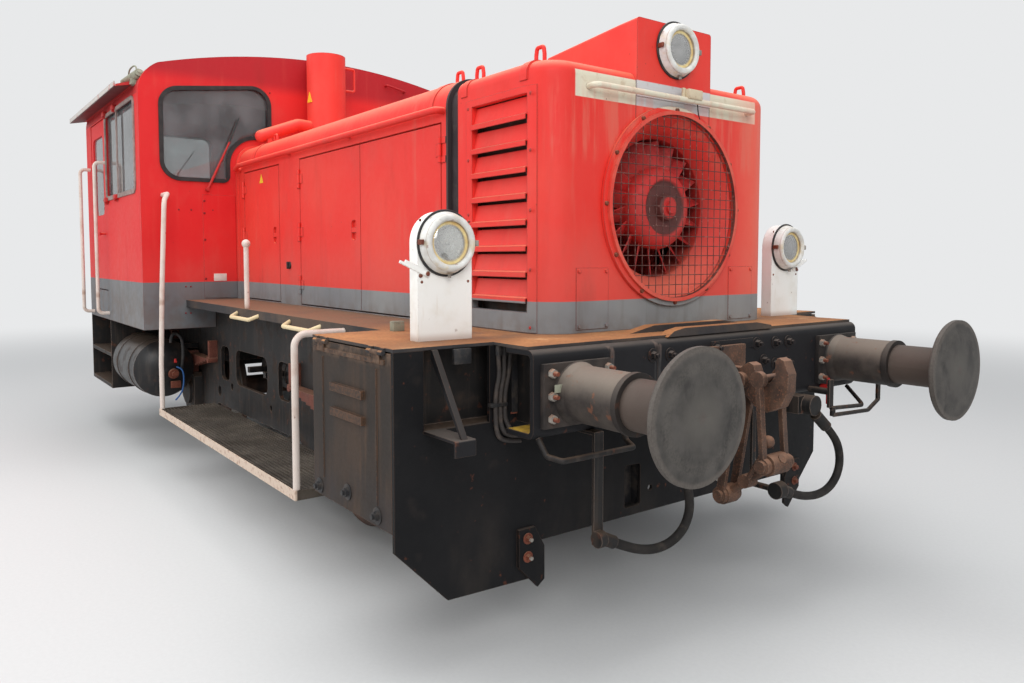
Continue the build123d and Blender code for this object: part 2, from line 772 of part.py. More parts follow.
pillar_x = (2830, 2892)
pillar_width = 248
pillar_near_y = -1184
pillar_far_y = 1052
pillar_arch_z = 1628
lamp_radius = 122
lamp_rim_radius = 112
lamp_rim_thickness = 28
lamp_rim_x = 40
lamp_glass_x = 24
lever_root = (-74, -124)
lever_tip = (-200, -66)
lever_half = 11
hood_lamp_z = 2523
rear_lamp_y = cab_half_width - 335
rear_lamp_z = 1640
# x of the mounting face, y, z, facing +1 forward or -1 back
lamps_table = [
    (pillar_x[1], pillar_near_y, pillar_arch_z, 1),
    (pillar_x[1], pillar_far_y, pillar_arch_z, 1),
    (hood_front_x + 5, 0, hood_lamp_z, 1),
    (cab_rear_x, -rear_lamp_y, rear_lamp_z, -1),
    (cab_rear_x, rear_lamp_y, rear_lamp_z, -1),
    (cab_rear_x, 0, cab_crown_z - 275, -1),
]


def lamp_pillar(y):
    """Round-topped sheet pillar with the notched lever bolted on its face."""
    half = pillar_width / 2
    slab = block(pillar_x, (y - half, y + half), (deck_z, pillar_arch_z))
    arch = rod_x(half, pillar_x, y, pillar_arch_z)
    run = Vector(lever_tip[0] - lever_root[0], lever_tip[1] - lever_root[1])
    across = run.normalized().rotate(Axis.Z, 90) * lever_half
    root = Vector(y + lever_root[0], pillar_arch_z + lever_root[1])
    tip = Vector(y + lever_tip[0], pillar_arch_z + lever_tip[1])
    notch = run.normalized() * 20
    outline = [root + across, tip + across, tip, tip - notch, tip - notch - across, root - across]
    lever = prism_x([(point.X, point.Y) for point in outline], (pillar_x[1] - 2, pillar_x[1] + 6))
    bolt_at = (y + lever_root[0] - 14, pillar_arch_z + lever_root[1] + 6)
    bolt = rod_x(9, (pillar_x[1] - 2, pillar_x[1] + 16), *bolt_at)
    return join([slab, arch, lever, bolt])


def facing_along_x(shape, x, y, z, facing):
    """Moves a piece turned about +X to its place, mirrored where it faces back."""
    return Pos(x, y, z) * (shape if facing > 0 else rear(shape))


def lamp_body(x, y, z, facing):
    """Round lamp case with a rolled rim round its hollow front."""
    opening = lamp_rim_radius - lamp_rim_thickness
    bowl_x = 9
    bowl_radius = opening - 4
    depth = lamp_glass_x - bowl_x
    ball = (bowl_radius ** 2 + depth ** 2) / (2 * depth)
    half_way = bowl_radius / 2
    profile = make_face([
        Line((0, 0), (0, lamp_radius)),
        Line((0, lamp_radius), (10, lamp_radius)),
        Line((10, lamp_radius), (lamp_rim_x, lamp_rim_radius)),
        ThreePointArc((lamp_rim_x, lamp_rim_radius), (lamp_rim_x + lamp_rim_thickness / 2,
                      lamp_rim_radius - lamp_rim_thickness / 2), (lamp_rim_x, opening)),
        Line((lamp_rim_x, opening), (lamp_glass_x, opening)),
        Line((lamp_glass_x, opening), (lamp_glass_x, bowl_radius)),
        ThreePointArc((lamp_glass_x, bowl_radius),
                      (bowl_x + ball - (ball ** 2 - half_way ** 2) ** 0.5, half_way), (bowl_x, 0)),
        Line((bowl_x, 0), (0, 0)),
    ])
    return facing_along_x(revolve(profile, Axis.X), x, y, z, facing)


def lamp_glass(x, y, z, facing):
    disc = rod_x(lamp_rim_radius - lamp_rim_thickness, (lamp_glass_x, lamp_glass_x + 6), 0, 0)
    return facing_along_x(disc, x, y, z, facing)


# Hood

def hood_section(inset):
    """Cross-section of the hood as a face in the YZ plane, inset all round but at its foot."""
    half = hood_half_width - inset
    top = hood_top_z - inset
    radius = hood_corner - inset
    side = Line((-half, deck_z), (-half, top - radius))
    near_arc = RadiusArc((-half, top - radius), (-half + radius, top), radius)
    crown = ThreePointArc((-half + radius, top), (0, top + hood_crown), (half - radius, top))
    far_arc = RadiusArc((half - radius, top), (half, top - radius), radius)
    other = Line((half, top - radius), (half, deck_z))
    foot = Line((half, deck_z), (-half, deck_z))
    return Plane.YZ * make_face([side, near_arc, crown, far_arc, other, foot])


# name, x of the hinge edge, x of the free edge, whether it has a latch
hood_doors_table = [
    ("front", 2188, 1313, False),
    ("middle", 420, 1307, True),
    ("rear", -687, 33, True),
]
hood_door_z = (1262, 2222)
latch_z = 1733
latch_inset = 86
latch_width = 62


def engine_hood():
    """Roof and side frames of the engine hood, open where its doors are."""
    x = (cab_front_x, hood_rear_x)
    shell = Pos(x[0], 0, 0) * extrude(hood_section(0), x[1] - x[0])
    hollow = Pos(x[0] - 5, 0, 0) * extrude(hood_section(hood_wall), x[1] - x[0] + 10)
    shell -= hollow
    y = (-hood_half_width - 5, -hood_half_width + hood_wall + 5)
    low = hood_door_z[0] - door_gap
    high = hood_door_z[1] + door_gap
    hinges = []
    for name, hinge, free, latched in hood_doors_table:
        start, end = min(hinge, free), max(hinge, free)
        cut = block((start - door_gap, end + door_gap), y, (low, high))
        shell -= cut
        shell -= far(cut)
        leaf_side = 1 if free > hinge else -1
        hinge_x = hinge - leaf_side * door_gap / 2
        fixed = knuckles(hinge_x, -hood_half_width, -1, leaf_side, hinge_heights)[1]
        hinges += fixed + [far(piece) for piece in fixed]
    rail_z = hood_rail_z
    wall_y = -hood_half_width + 5
    rail_y = -hood_half_width - 46
    rail_front = hood_rear_x - 35
    rail_rear = cab_front_x + 60
    rail = tube([
        (rail_rear, wall_y, rail_z - 24),
        (rail_rear, rail_y, rail_z - 24),
        (rail_rear + 90, rail_y, rail_z),
        (rail_front, rail_y, rail_z),
        (rail_front, wall_y, rail_z),
    ], 34, 22)
    flange = Pos(x[0], 0, 0) * extrude(hood_section(-hood_flange), hood_flange)
    flange -= Pos(x[0] - 5, 0, 0) * extrude(hood_section(1), hood_flange + 10)
    flange -= block((x[0] - 5, x[0] + hood_flange + 5), (-hood_half_width - 50, hood_half_width + 50),
                    (deck_z - hood_flange - 5, deck_z))
    brackets = [block((x - 14, x + 14), (rail_y, wall_y), (rail_z - 9, rail_z + 9)) for x in (1183, 250)]
    eyes = []
    for x in (hood_rear_x - 160, cab_front_x + 355):
        eyes += sides(lifting_eye(x, -hood_half_width, hood_corner, hood_top_z, 2))
    brackets += [far(bracket) for bracket in brackets]
    return join([shell, flange, rail, far(rail)] + brackets + eyes + hinges)


def knuckles(axis_x, face_y, outward, leaf_side, heights):
    """Hinge on a flat wall: the leaf's knuckles and the fixed ones above and below them."""
    axis_y = face_y + outward * (hinge_radius + hinge_gap)
    strap_y = tuple(sorted((face_y, face_y + outward * 4)))
    leaf = []
    fixed = []
    for height in heights:
        # low, high, group, side of the strap
        for low, high, group, side in (
                (height - 30, height + 30, leaf, leaf_side),
                (height + 30 + hinge_gap, height + 62, fixed, -leaf_side),
                (height - 62, height - 30 - hinge_gap, fixed, -leaf_side)):
            strap_x = tuple(sorted((axis_x, axis_x + side * 46)))
            group.append(rod_z(hinge_radius, axis_x, axis_y, (low, high)))
            group.append(block(strap_x, strap_y, (low, high)))
    return leaf, fixed


def lifting_eye(x, side_y, corner, top_z, drop):
    """Bent bar loop on a strap laid over the rounded top corner of a hood and down its side."""
    y = side_y + corner + 30
    loop = tube([(x - 28, y, top_z - 2), (x - 28, y, top_z + 34), (x - 22, y, top_z + 66),
                 (x + 22, y, top_z + 66), (x + 28, y, top_z + 34), (x + 28, y, top_z - 2)], 18, 12)
    lift = 5
    arc_middle = (side_y + corner * 0.293 - lift * 0.707, top_z - corner * 0.293 + lift * 0.707)
    foot_z = top_z - corner - drop
    outline = [
        Line((side_y - lift, foot_z), (side_y - lift, top_z - corner)),
        ThreePointArc((side_y - lift, top_z - corner), arc_middle, (side_y + corner, top_z + lift)),
        Line((side_y + corner, top_z + lift), (y + 14, top_z + lift)),
        Line((y + 14, top_z + lift), (y + 14, top_z - 12)),
        Line((y + 14, top_z - 12), (side_y + corner, top_z - 12)),
        Line((side_y + corner, top_z - 12), (side_y + 12, top_z - corner)),
        Line((side_y + 12, top_z - corner), (side_y + 12, foot_z)),
        Line((side_y + 12, foot_z), (side_y - lift, foot_z)),
    ]
    strap = Pos(x - 24, 0, 0) * extrude(Plane.YZ * make_face(outline), 48)
    return join([loop, strap])


def hood_door(hinge, free, latched):
    """Door leaf with its hinge knuckles and, where it has one, a latch tongue in a sunk dish."""
    x = (min(hinge, free), max(hinge, free))
    y = (-hood_half_width, -hood_half_width + hood_wall)
    leaf = block(x, y, hood_door_z)
    leaf_side = 1 if free > hinge else -1
    own = knuckles(hinge - leaf_side * door_gap / 2, y[0], -1, leaf_side, hinge_heights)[0]
    if latched:
        latch_x = free - leaf_side * latch_inset
        dish = (latch_x - latch_width / 2, latch_x + latch_width / 2)
        leaf -= round_block_y(dish, (latch_z - 58, latch_z + 58), (y[0] - 5, y[0] + 16), 20)
        own.append(block(dish, (y[0] + 1, y[0] + 17), (latch_z - 14, latch_z + 16)))
    return join([leaf] + own)


louvre_x = (2466, 2873)
louvre_z = (1338, 2260)
louvre_first = 34
louvre_count = 8
louvre_sheet = 4
louvre_lip = 22
louvre_frame = 4
louvre_frame_x = (2418, 2918)
louvre_frame_z = (1252, 2291)
core_gap = 75
core_depth = 50


lamp_box_half = 250


def radiator_solid(inset, rear_x):
    """Front hood block with rounded upright corners and softened top edges."""
    half = hood_half_width - inset
    front = hood_front_x - inset
    body = block((rear_x, front), (-half, half), (deck_z, radiator_top_z - inset))
    upright = body.edges().filter_by(Axis.Z).sort_by(Axis.X)[-2:]
    body = fillet(upright, radiator_corner - inset)
    top = body.faces().sort_by(Axis.Z)[-1].edges()
    top = [edge for edge in top if edge.center().X > rear_x + 1]
    return fillet(top, radiator_edge - inset * 0.5)


def radiator_hood():
    """Front hood section: fan opening, louvre openings, lamp box, hatches and lifting eyes."""
    panel = radiator_solid(-louvre_frame, hood_split_x) & block(
        louvre_frame_x, (-hood_half_width - 20, -hood_half_width + 50), louvre_frame_z)
    shell = join([radiator_solid(0, hood_split_x), panel, far(panel)])
    hollow = block((hood_split_x - 5, hood_front_x - hood_wall), (-hood_half_width + hood_wall,
                   hood_half_width - hood_wall), (deck_z - 5, radiator_top_z - hood_wall))
    hollow = fillet(hollow.edges().filter_by(Axis.Z).sort_by(Axis.X)[-2:], radiator_corner - hood_wall)
    shell -= hollow
    shell -= rod_x(fan_opening_radius, (hood_front_x - 60, hood_front_x + 20), 0, fan_z)
    cut = block(louvre_x, (-hood_half_width - 5, -hood_half_width + hood_wall + 5), louvre_z)
    shell -= cut
    shell -= far(cut)
    sunk = radiator_top_z - 20
    lamp_profile = [(hood_split_x + 39, sunk), (hood_split_x + 39, radiator_top_z + 179),
                    (hood_front_x - 108, radiator_top_z + 228), (hood_front_x + 5, radiator_top_z + 236),
                    (hood_front_x + 5, sunk - 90), (hood_front_x - 20, sunk - 90), (hood_front_x - 20, sunk)]
    housing = prism_y(lamp_profile, (-lamp_box_half, lamp_box_half))
    top_edges = housing.edges().filter_by_position(Axis.Z, radiator_top_z + 100, radiator_top_z + 300)
    housing = fillet([edge for edge in top_edges if abs(edge.center().Y) > lamp_box_half - 10], 14)
    eyes = []
    for x in (hood_front_x - 150, hood_split_x + 56):
        eyes += sides(lifting_eye(x, -hood_half_width, radiator_edge, radiator_top_z, 25))
    grab_y = hood_half_width - 230
    grab_z = radiator_top_z - 104
    grab = tube([(hood_front_x - 5, -grab_y, grab_z), (hood_front_x + 52, -grab_y, grab_z),
                 (hood_front_x + 52, grab_y, grab_z), (hood_front_x - 5, grab_y, grab_z)], 26, 22)
    hatch_y = -hood_half_width + 258
    hatch = block((hood_front_x, hood_front_x + 4), (hatch_y - 93, hatch_y + 93), (1263, 1527))
    return join([shell, housing, grab] + eyes + sides(hatch))


def louvres():
    """Sheet slats of one side: each leans in behind the lip of the slat above it."""
    start = louvre_z[0] + louvre_first
    pitch = (louvre_z[1] - start) / louvre_count
    sheet = louvre_sheet
    face = -hood_half_width
    slats = []
    for number in range(louvre_count):
        low = start + number * pitch
        top = low + pitch - 6
        points = [
            (face + 24, top),
            (face + 6, low + louvre_lip + 10),
            (face - 11, low + louvre_lip + 4),
            (face - 11, low + 4),
            (face - 11 + sheet, low + 4),
            (face - 11 + sheet, low + louvre_lip),
            (face + 6 + sheet, low + louvre_lip + 6),
            (face + 24 + sheet, top),
        ]
        slats.append(prism_x(points, louvre_x))
    return slats


def radiator_core():
    """Upright cooler block behind the louvres, in two channels on the hood side."""
    x = (louvre_x[0] - 40, louvre_x[1] - 23)
    inner_y = -hood_half_width + core_gap + core_depth
    z = (louvre_z[0] - 11, louvre_z[1] + 14)
    core = block(x, (-hood_half_width + core_gap, inner_y), z)
    channel_y = (-hood_half_width + hood_wall, inner_y)
    channels = [block((low, low + 12), channel_y, z) for low in (x[0], x[1] - 22)]
    return join([core] + channels)


def gaiter():
    """Rubber bellows between the two hood sections."""
    x = (hood_rear_x, hood_split_x)
    ring = Pos(x[0], 0, 0) * extrude(hood_section(24), x[1] - x[0])
    hollow = Pos(x[0] - 5, 0, 0) * extrude(hood_section(76), x[1] - x[0] + 10)
    return ring - hollow


# Fan

def fan_shroud():
    """Outer ring on the hood face, the bell mouth behind it and the spider with the fan's bearing."""
    face = hood_front_x
    ring = rod_x(fan_ring_radius, (face + 1, face + 18), 0, fan_z)
    ring -= rod_x(fan_opening_radius - 6, (face - 10, face + 30), 0, fan_z)
    mouth = fan_opening_radius - 6
    throat = fan_rotor_radius + fan_tip_gap
    sheet = 5
    front = face + 1
    neck = face - 110
    back = face - 260
    drop = mouth - throat
    waist = throat + 0.28 * drop
    inner = ThreePointArc((front, mouth), (neck + 38, waist), (neck, throat))
    outer = ThreePointArc((neck, throat + sheet), (neck + 34, waist + sheet), (front - sheet, mouth))
    profile = make_face([
        inner,
        Line((neck, throat), (back, throat)),
        Line((back, throat), (back, throat + sheet)),
        Line((back, throat + sheet), (neck, throat + sheet)),
        outer,
        Line((front - sheet, mouth), (front, mouth)),
    ])
    bell = Pos(0, 0, fan_z) * revolve(profile, Axis.X)
    bearing_x = (back, back + 38)
    spokes = []
    for number in range(3):
        spoke = block((bearing_x[0], bearing_x[0] + 12), (-14, 14), (0, throat + sheet / 2))
        spokes.append(Pos(0, 0, fan_z) * Rot(120 * number, 0, 0) * spoke)
    bore = rod_x(fan_shaft_radius + bearing_gap, (bearing_x[0] - 5, bearing_x[1] + 5), 0, fan_z)
    spider = join([rod_x(52, bearing_x, 0, fan_z)] + spokes) - bore
    return join([ring, bell, spider])


def fan_guard():
    """Square wire mesh in a ring, as two layers of round wires."""
    x = hood_front_x + 18
    ring = rod_x(fan_ring_radius - 22, (x, x + 16), 0, fan_z)
    ring -= rod_x(fan_opening_radius - 8, (x - 5, x + 30), 0, fan_z)
    count = int((fan_opening_radius - 10) / guard_pitch)
    front_x = x + 5
    back_x = front_x + 2 * guard_wire_radius + hinge_gap
    wires = []
    for number in range(-count, count + 1):
        offset = number * guard_pitch
        half = ((fan_opening_radius - 2) ** 2 - offset ** 2) ** 0.5
        wires.append(rod_z(guard_wire_radius, front_x, offset, (fan_z - half, fan_z + half)))
        wires.append(rod_y(guard_wire_radius, back_x, (-half, half), fan_z + offset))
    return join([ring] + wires)


def fan_rotor():
    """Rounded hub with its dished face, boss and nut, and twisted blades, about the x axis."""
    plane_x = hood_front_x - 150
    hub = fan_hub_radius
    rear_x = plane_x - 58
    face_x = hood_front_x - 44
    profile = make_face([
        Line((rear_x, 0), (rear_x, hub - 6)),
        Line((rear_x, hub - 6), (plane_x + 20, hub)),
        ThreePointArc((plane_x + 20, hub), (face_x - 14, hub - 22), (face_x, hub - 56)),
        Line((face_x, hub - 56), (face_x - 12, hub - 74)),
        Line((face_x - 12, hub - 74), (face_x - 12, 64)),
        Line((face_x - 12, 64), (face_x + 18, 60)),
        Line((face_x + 18, 60), (face_x + 26, 50)),
        Line((face_x + 26, 50), (face_x + 26, 31)),
        Line((face_x + 26, 31), (face_x + 42, 29)),
        Line((face_x + 42, 29), (face_x + 42, 0)),
        Line((face_x + 42, 0), (rear_x, 0)),
    ])
    body = Pos(0, 0, fan_z) * revolve(profile, Axis.X)
    shaft = rod_x(fan_shaft_radius, (hood_front_x - 258, rear_x + 5), 0, fan_z)
    root = Plane(origin=(0, 0, hub - 12), z_dir=(0, 0, 1)) * Rot(0, 0, 52) * Rectangle(92, 7)
    tip = Plane(origin=(0, 0, fan_rotor_radius), z_dir=(0, 0, 1)) * Rot(0, 0, 32) * Rectangle(84, 5)
    blade = loft([root, tip])
    blades = []
    for number in range(fan_blade_count):
        blades.append(Pos(plane_x, 0, fan_z) * Rot(360 / fan_blade_count * number, 0, 0) * blade)
    return join([body, shaft] + blades)


# Engine and drive

def engine_block():
    body = block((-250, 1350), (-400, 400), (engine_bottom_z, 1560))
    heads = block((-200, 1300), (-230, 230), (1560, 1880))
    return join([body, heads])


def transmission():
    """Gearbox, cardan shafts and axle drives."""
    gearbox = block((-740, -250), (-300, 300), (790, 1330))
    shaft_z = 560
    drives = []
    for side in (-1, 1):
        centre = side * axle_x
        case = rod_y(210, centre, (-170, 170), axle_z + 20)
        nose = rod_x(90, tuple(sorted((centre - side * 150, centre - side * 330))), 0, shaft_z)
        case = join([case, nose]) - rod_y(axle_radius + running_gap, centre, (-175, 175), axle_z)
        drives.append(case)
    drop_box = block((-640, -360), (-180, 180), (480, 790))
    shafts = [rod_x(48, (-360, axle_x - 330), 0, shaft_z), rod_x(48, (-axle_x + 330, -640), 0, shaft_z)]
    return join([gearbox, drop_box] + drives + shafts)


# Exhaust

stack_x = cab_front_x + 178
stack_y = -90
duct_radius = 47
duct_end_y = -645
duct_bend_y = -345
duct_end_z = hood_top_z + 70
duct_bend_z = hood_top_z + 187


def exhaust():
    """Upright stack in front of the cab and the duct lying on the hood."""
    base = hood_top_z + 5
    pipe = rod_z(155, stack_x, stack_y, (base - 60, cab_crown_z))
    pipe -= rod_z(120, stack_x, stack_y, (cab_crown_z - 305, cab_crown_z + 10))
    foot = rod_z(172, stack_x, stack_y, (base - 60, base + 40))
    duct = tube([(stack_x + 20, duct_end_y, duct_end_z), (stack_x + 20, duct_bend_y, duct_bend_z),
                 (stack_x, stack_y, duct_bend_z - 10)], 2 * duct_radius, 60)
    cap = Pos(stack_x + 20, duct_end_y, duct_end_z) * Sphere(duct_radius)
    saddle = block((stack_x - 10, stack_x + 50), (duct_end_y + 40, duct_end_y + 80),
                   (base - 120, duct_end_z + 10))
    handle_y = (stack_y + 150, stack_y + 240)
    handle_z = (cab_crown_z - 255, cab_crown_z - 75)
    handle = tube([(stack_x + 20, handle_y[0], handle_z[1]), (stack_x + 20, handle_y[1], handle_z[1]),
                   (stack_x + 20, handle_y[1], handle_z[0]), (stack_x + 20, handle_y[0], handle_z[0])],
                  20, 18)
    hood = Pos(cab_front_x - 50, 0, 0) * extrude(hood_section(0), 800)
    flange = Pos(cab_front_x, 0, 0) * extrude(hood_section(-hood_flange), hood_flange)
    return join([pipe, foot, duct, cap, saddle, handle]) - hood - flange


# Cab

def cab_section(inset, foot_z):
    """Cross-section of the cab: upright sides, rounded eaves and an arched roof."""
    half = cab_half_width - inset
    eave = (half - 145, cab_eave_z - inset)
    shoulder = cab_shoulder_z
    lines = [
        ThreePointArc((-half, shoulder), (-half + 42, shoulder + 138), (-eave[0], eave[1])),
        ThreePointArc((-eave[0], eave[1]), (0, cab_crown_z - inset), (eave[0], eave[1])),
        ThreePointArc((eave[0], eave[1]), (half - 42, shoulder + 138), (half, shoulder)),
        Line((half, foot_z), (-half, foot_z)),
    ]
    if foot_z < shoulder:
        lines.append(Line((-half, foot_z), (-half, shoulder)))
        lines.append(Line((half, shoulder), (half, foot_z)))
    return Plane.YZ * make_face(lines)


def cab_slice(inset, foot_z, x):
    return Pos(x[0], 0, 0) * extrude(cab_section(inset, foot_z), x[1] - x[0])


cab_hatch_y = 1042
cab_hatch_top_z = 2058
front_window_y = (505, cab_half_width - 152)
front_window_z = (2168, 2936)
front_window_drop = 105
front_window_corner = 135
window_to_hood = 78
side_window_x = (-2085, -975)
side_window_z = (2070, 2795)
door_window_x = (-2690, -2235)
door_window_z = (1950, 2640)
door_z = (1290, 2770)
rear_window_y = (330, cab_half_width - 205)
rear_window_z = (2140, 2800)


def front_pane(side, x, grow):
    """Front window outline, notched round the hood, grown by some millimetres all round."""
    inner, outer = side * (front_window_y[0] - grow), side * (front_window_y[1] + grow)
    low, high = front_window_z[0] - grow, front_window_z[1] + grow
    pane = prism_x([(inner, low), (outer, low), (outer, high - front_window_drop), (inner, high)], x)
    pane = fillet(pane.edges().filter_by(Axis.X), front_window_corner + grow)
    hood = Pos(x[0] - 5, 0, 0) * extrude(hood_section(grow - window_to_hood), x[1] - x[0] + 10)
    pane -= hood
    foot = [edge for edge in pane.edges().filter_by(Axis.X) if edge.center().Z < hood_top_z - hood_corner
            and abs(edge.center().Y) < hood_half_width + window_to_hood + 1]
    return fillet(foot, 60) if foot else pane


def cab_front_wall():
    wall = cab_slice(0, cab_bottom_z, (cab_front_x - cab_wall, cab_front_x))
    hood_gap = Pos(cab_front_x - cab_wall - 5, 0, 0) * extrude(hood_section(hood_wall + 30), cab_wall + 10)
    wall -= hood_gap
    wall -= block((cab_front_x - cab_wall - 5, cab_front_x + 5), (-frame_plate_y - 3, frame_plate_y + 3),
                  (cab_bottom_z - 5, deck_z + 2))
    for side in (-1, 1):
        wall -= front_pane(side, (cab_front_x - cab_wall - 5, cab_front_x + 5), 0)
    hatch = block((cab_front_x, cab_front_x + 3), (-cab_hatch_y, -hood_half_width - hood_flange - 6),
                  (deck_z + 10, cab_hatch_top_z))
    grab = tube([(cab_front_x - 5, 545, 3084), (cab_front_x + 40, 545, 3084),
                 (cab_front_x + 40, 725, 3048), (cab_front_x - 5, 725, 3048)], 18, 14)
    return join([wall, hatch, grab])


def cab_rear_wall():
    wall = cab_slice(0, cab_bottom_z, (cab_rear_x, cab_rear_x + cab_wall))
    wall -= block((cab_rear_x - 5, cab_rear_x + cab_wall + 5), (-frame_plate_y - 3, frame_plate_y + 3),
                  (cab_bottom_z - 5, deck_z + 2))
    for side in (-1, 1):
        y = tuple(sorted((side * rear_window_y[0], side * rear_window_y[1])))
        wall -= round_block_x(y, rear_window_z, (cab_rear_x - 5, cab_rear_x + cab_wall + 5), 90)
    return wall


def cab_side_wall():
    x = (cab_rear_x + cab_wall, cab_front_x - cab_wall)
    y = (-cab_half_width, -cab_half_width + cab_wall)
    wall = block(x, y, (cab_bottom_z, cab_shoulder_z))
    cut_y = (y[0] - 5, y[1] + 5)
    wall -= round_block_y(side_window_x, side_window_z, cut_y, 60) & block(
        side_window_x, cut_y, (side_window_z[0], cab_shoulder_z - 8))
    wall -= block((cab_door_rear_x - door_gap, cab_door_front_x + door_gap), cut_y,
                  (door_z[0] - door_gap, door_z[1] + door_gap))
    fixed = knuckles(cab_door_rear_x - door_gap / 2, y[1], 1, 1, cab_hinge_heights)[1]
    return join([wall] + fixed)


def cab_roof():
    """Arched roof with its eaves, side canopies and gutter."""
    x = (cab_rear_x + cab_wall, cab_front_x - cab_wall)
    outer = cab_slice(0, cab_shoulder_z, x)
    inner = cab_slice(cab_wall, cab_shoulder_z - 50, (x[0] - 5, x[1] + 5))
    shell = outer - inner
    shoulder = cab_shoulder_z
    canopy_section = [(-cab_half_width + 34, shoulder + 78), (-cab_half_width - 124, shoulder + 46),
                      (-cab_half_width - 130, shoulder + 48), (-cab_half_width - 130, shoulder + 84),
                      (-cab_half_width - 124, shoulder + 84), (-cab_half_width - 122, shoulder + 62),
                      (-cab_half_width + 44, shoulder + 114)]
    canopy = prism_x(canopy_section, (cab_rear_x - 40, cab_front_x - 150))
    canopy -= cab_slice(0, cab_bottom_z, (cab_rear_x, x[0]))
    return join([shell] + sides(canopy))


def cab_floor():
    x = (cab_rear_x + cab_wall + 2, cab_front_x - cab_wall - 2)
    half = cab_half_width - cab_wall - 2
    plate = block(x, (-half, half), (deck_z, cab_floor_z))
    carrier = block(x, (-half, -frame_plate_y - 3), (deck_z - 48, deck_z))
    return join([plate] + sides(carrier))


def cab_door():
    x = (cab_door_rear_x, cab_door_front_x)
    y = (-cab_half_width + 4, -cab_half_width + cab_wall)
    leaf = block(x, y, door_z)
    leaf -= round_block_y(door_window_x, door_window_z, (y[0] - 5, y[1] + 5), 60)
    knob = join([rod_y(9, x[1] - 60, (y[0] - 40, y[0]), 1780),
                 block((x[1] - 150, x[1] - 50), (y[0] - 52, y[0] - 38), (1768, 1792))])
    own = knuckles(x[0] - door_gap / 2, y[1], 1, 1, cab_hinge_heights)[0]
    return join([leaf, knob] + own)


def pane_y(x, z, y, radius, inset):
    return round_block_y((x[0] + inset, x[1] - inset), (z[0] + inset, z[1] - inset), y, radius)


def door_glass():
    middle = -cab_half_width + cab_wall / 2
    return pane_y(door_window_x, door_window_z, (middle - 3, middle + 3), 60, 0)


def cab_glazing():
    """Fixed panes of the cab."""
    panes = []
    middle = cab_front_x - cab_wall / 2
    back = cab_rear_x + cab_wall / 2
    for side in (-1, 1):
        panes.append(front_pane(side, (middle - 3, middle + 3), 0))
        y = tuple(sorted((side * rear_window_y[0], side * rear_window_y[1])))
        panes.append(round_block_x(y, rear_window_z, (back - 3, back + 3), 90))
    y_middle = -cab_half_width + cab_wall / 2
    side_pane = round_block_y(side_window_x, side_window_z, (y_middle - 3, y_middle + 3), 60) & block(
        side_window_x, (y_middle - 10, y_middle + 10), (side_window_z[0], cab_shoulder_z - 8))
    return panes + sides(side_pane)


def window_frames():
    """Rubber frames round the front and rear panes and metal frames at the sides."""
    frames = []
    lap = 14
    lip = 16
    low_z, high_z = rear_window_z
    for side in (-1, 1):
        outer = front_pane(side, (cab_front_x, cab_front_x + 12), lap)
        frames.append(outer - front_pane(side, (cab_front_x - 5, cab_front_x + 20), -lip))
        y = tuple(sorted((side * rear_window_y[0], side * rear_window_y[1])))
        outer = round_block_x((y[0] - lap, y[1] + lap), (low_z - lap, high_z + lap),
                              (cab_rear_x - 12, cab_rear_x), 90 + lap)
        inner = round_block_x((y[0] + lip, y[1] - lip), (low_z + lip, high_z - lip),
                              (cab_rear_x - 17, cab_rear_x + 5), 90 - lip)
        frames.append(outer - inner)
    y = (-cab_half_width - 10, -cab_half_width)
    top = cab_shoulder_z - 8
    outer = round_block_y((side_window_x[0] - 12, side_window_x[1] + 12),
                          (side_window_z[0] - 12, top + 6), y, 72)
    middle = -1594
    cut_y = (y[0] - 5, y[1] + 5)
    light_z = (side_window_z[0] + 22, top - 22)
    light = round_block_y((side_window_x[0] + 22, side_window_x[1] - 22), light_z, cut_y, 44)
    frames += sides(outer - (light - block((middle - 14, middle + 14), cut_y, light_z)))
    return frames


def desk():
    """Control desk against the cab front wall with its column."""
    front = cab_front_x - cab_wall
    points = [
        (front, cab_floor_z), (front, 2060), (front - 160, 2060), (front - 420, 1960),
        (front - 420, 1900), (front - 260, 1860), (front - 260, cab_floor_z),
    ]
    return prism_y(points, (-560, 560))


def seat(y):
    base = rod_z(45, -1700, y, (cab_floor_z, 1720))
    foot = rod_z(150, -1700, y, (cab_floor_z, cab_floor_z + 18))
    cushion = block((-1900, -1500), (y - 200, y + 200), (1720, 1800))
    back = block((-1950, -1890), (y - 190, y + 190), (1800, 2150))
    return join([base, foot, cushion, back])


# Handrails

def handrails():
    """Painted rails beside the platforms, and the ball-topped post on the walkway."""
    size = 34
    foot_y = -platform_outer_y + 18
    foot_x = platform_x[0] + 20
    cab_y = -cab_half_width + 155
    long_rail = tube([
        (foot_x, foot_y, platform_top_z),
        (foot_x, foot_y, 800),
        (foot_x + 5, foot_y + 14, 1300),
        (foot_x, foot_y + 47, 1985),
        (foot_x - 130, cab_y, 2040),
        (cab_front_x, cab_y, 2040),
    ], size, 60)
    rail_x = platform_x[1] - 25
    rail_z = deck_z - 35
    box_rail = tube([(rail_x, foot_y, platform_top_z), (rail_x, foot_y, rail_z),
                     (rail_x, -walkway_y, rail_z)], size, 60)
    post_y = -walkway_y + 30
    post = join([rod_z(16, 470, post_y, (deck_z, 1640)), Pos(470, post_y, 1660) * Sphere(27)])
    near = [long_rail, box_rail, post]
    return near + [far(item) for item in near]


# x of the bar's two ends
walkway_handles_table = [(390, 730), (1285, 1650)]


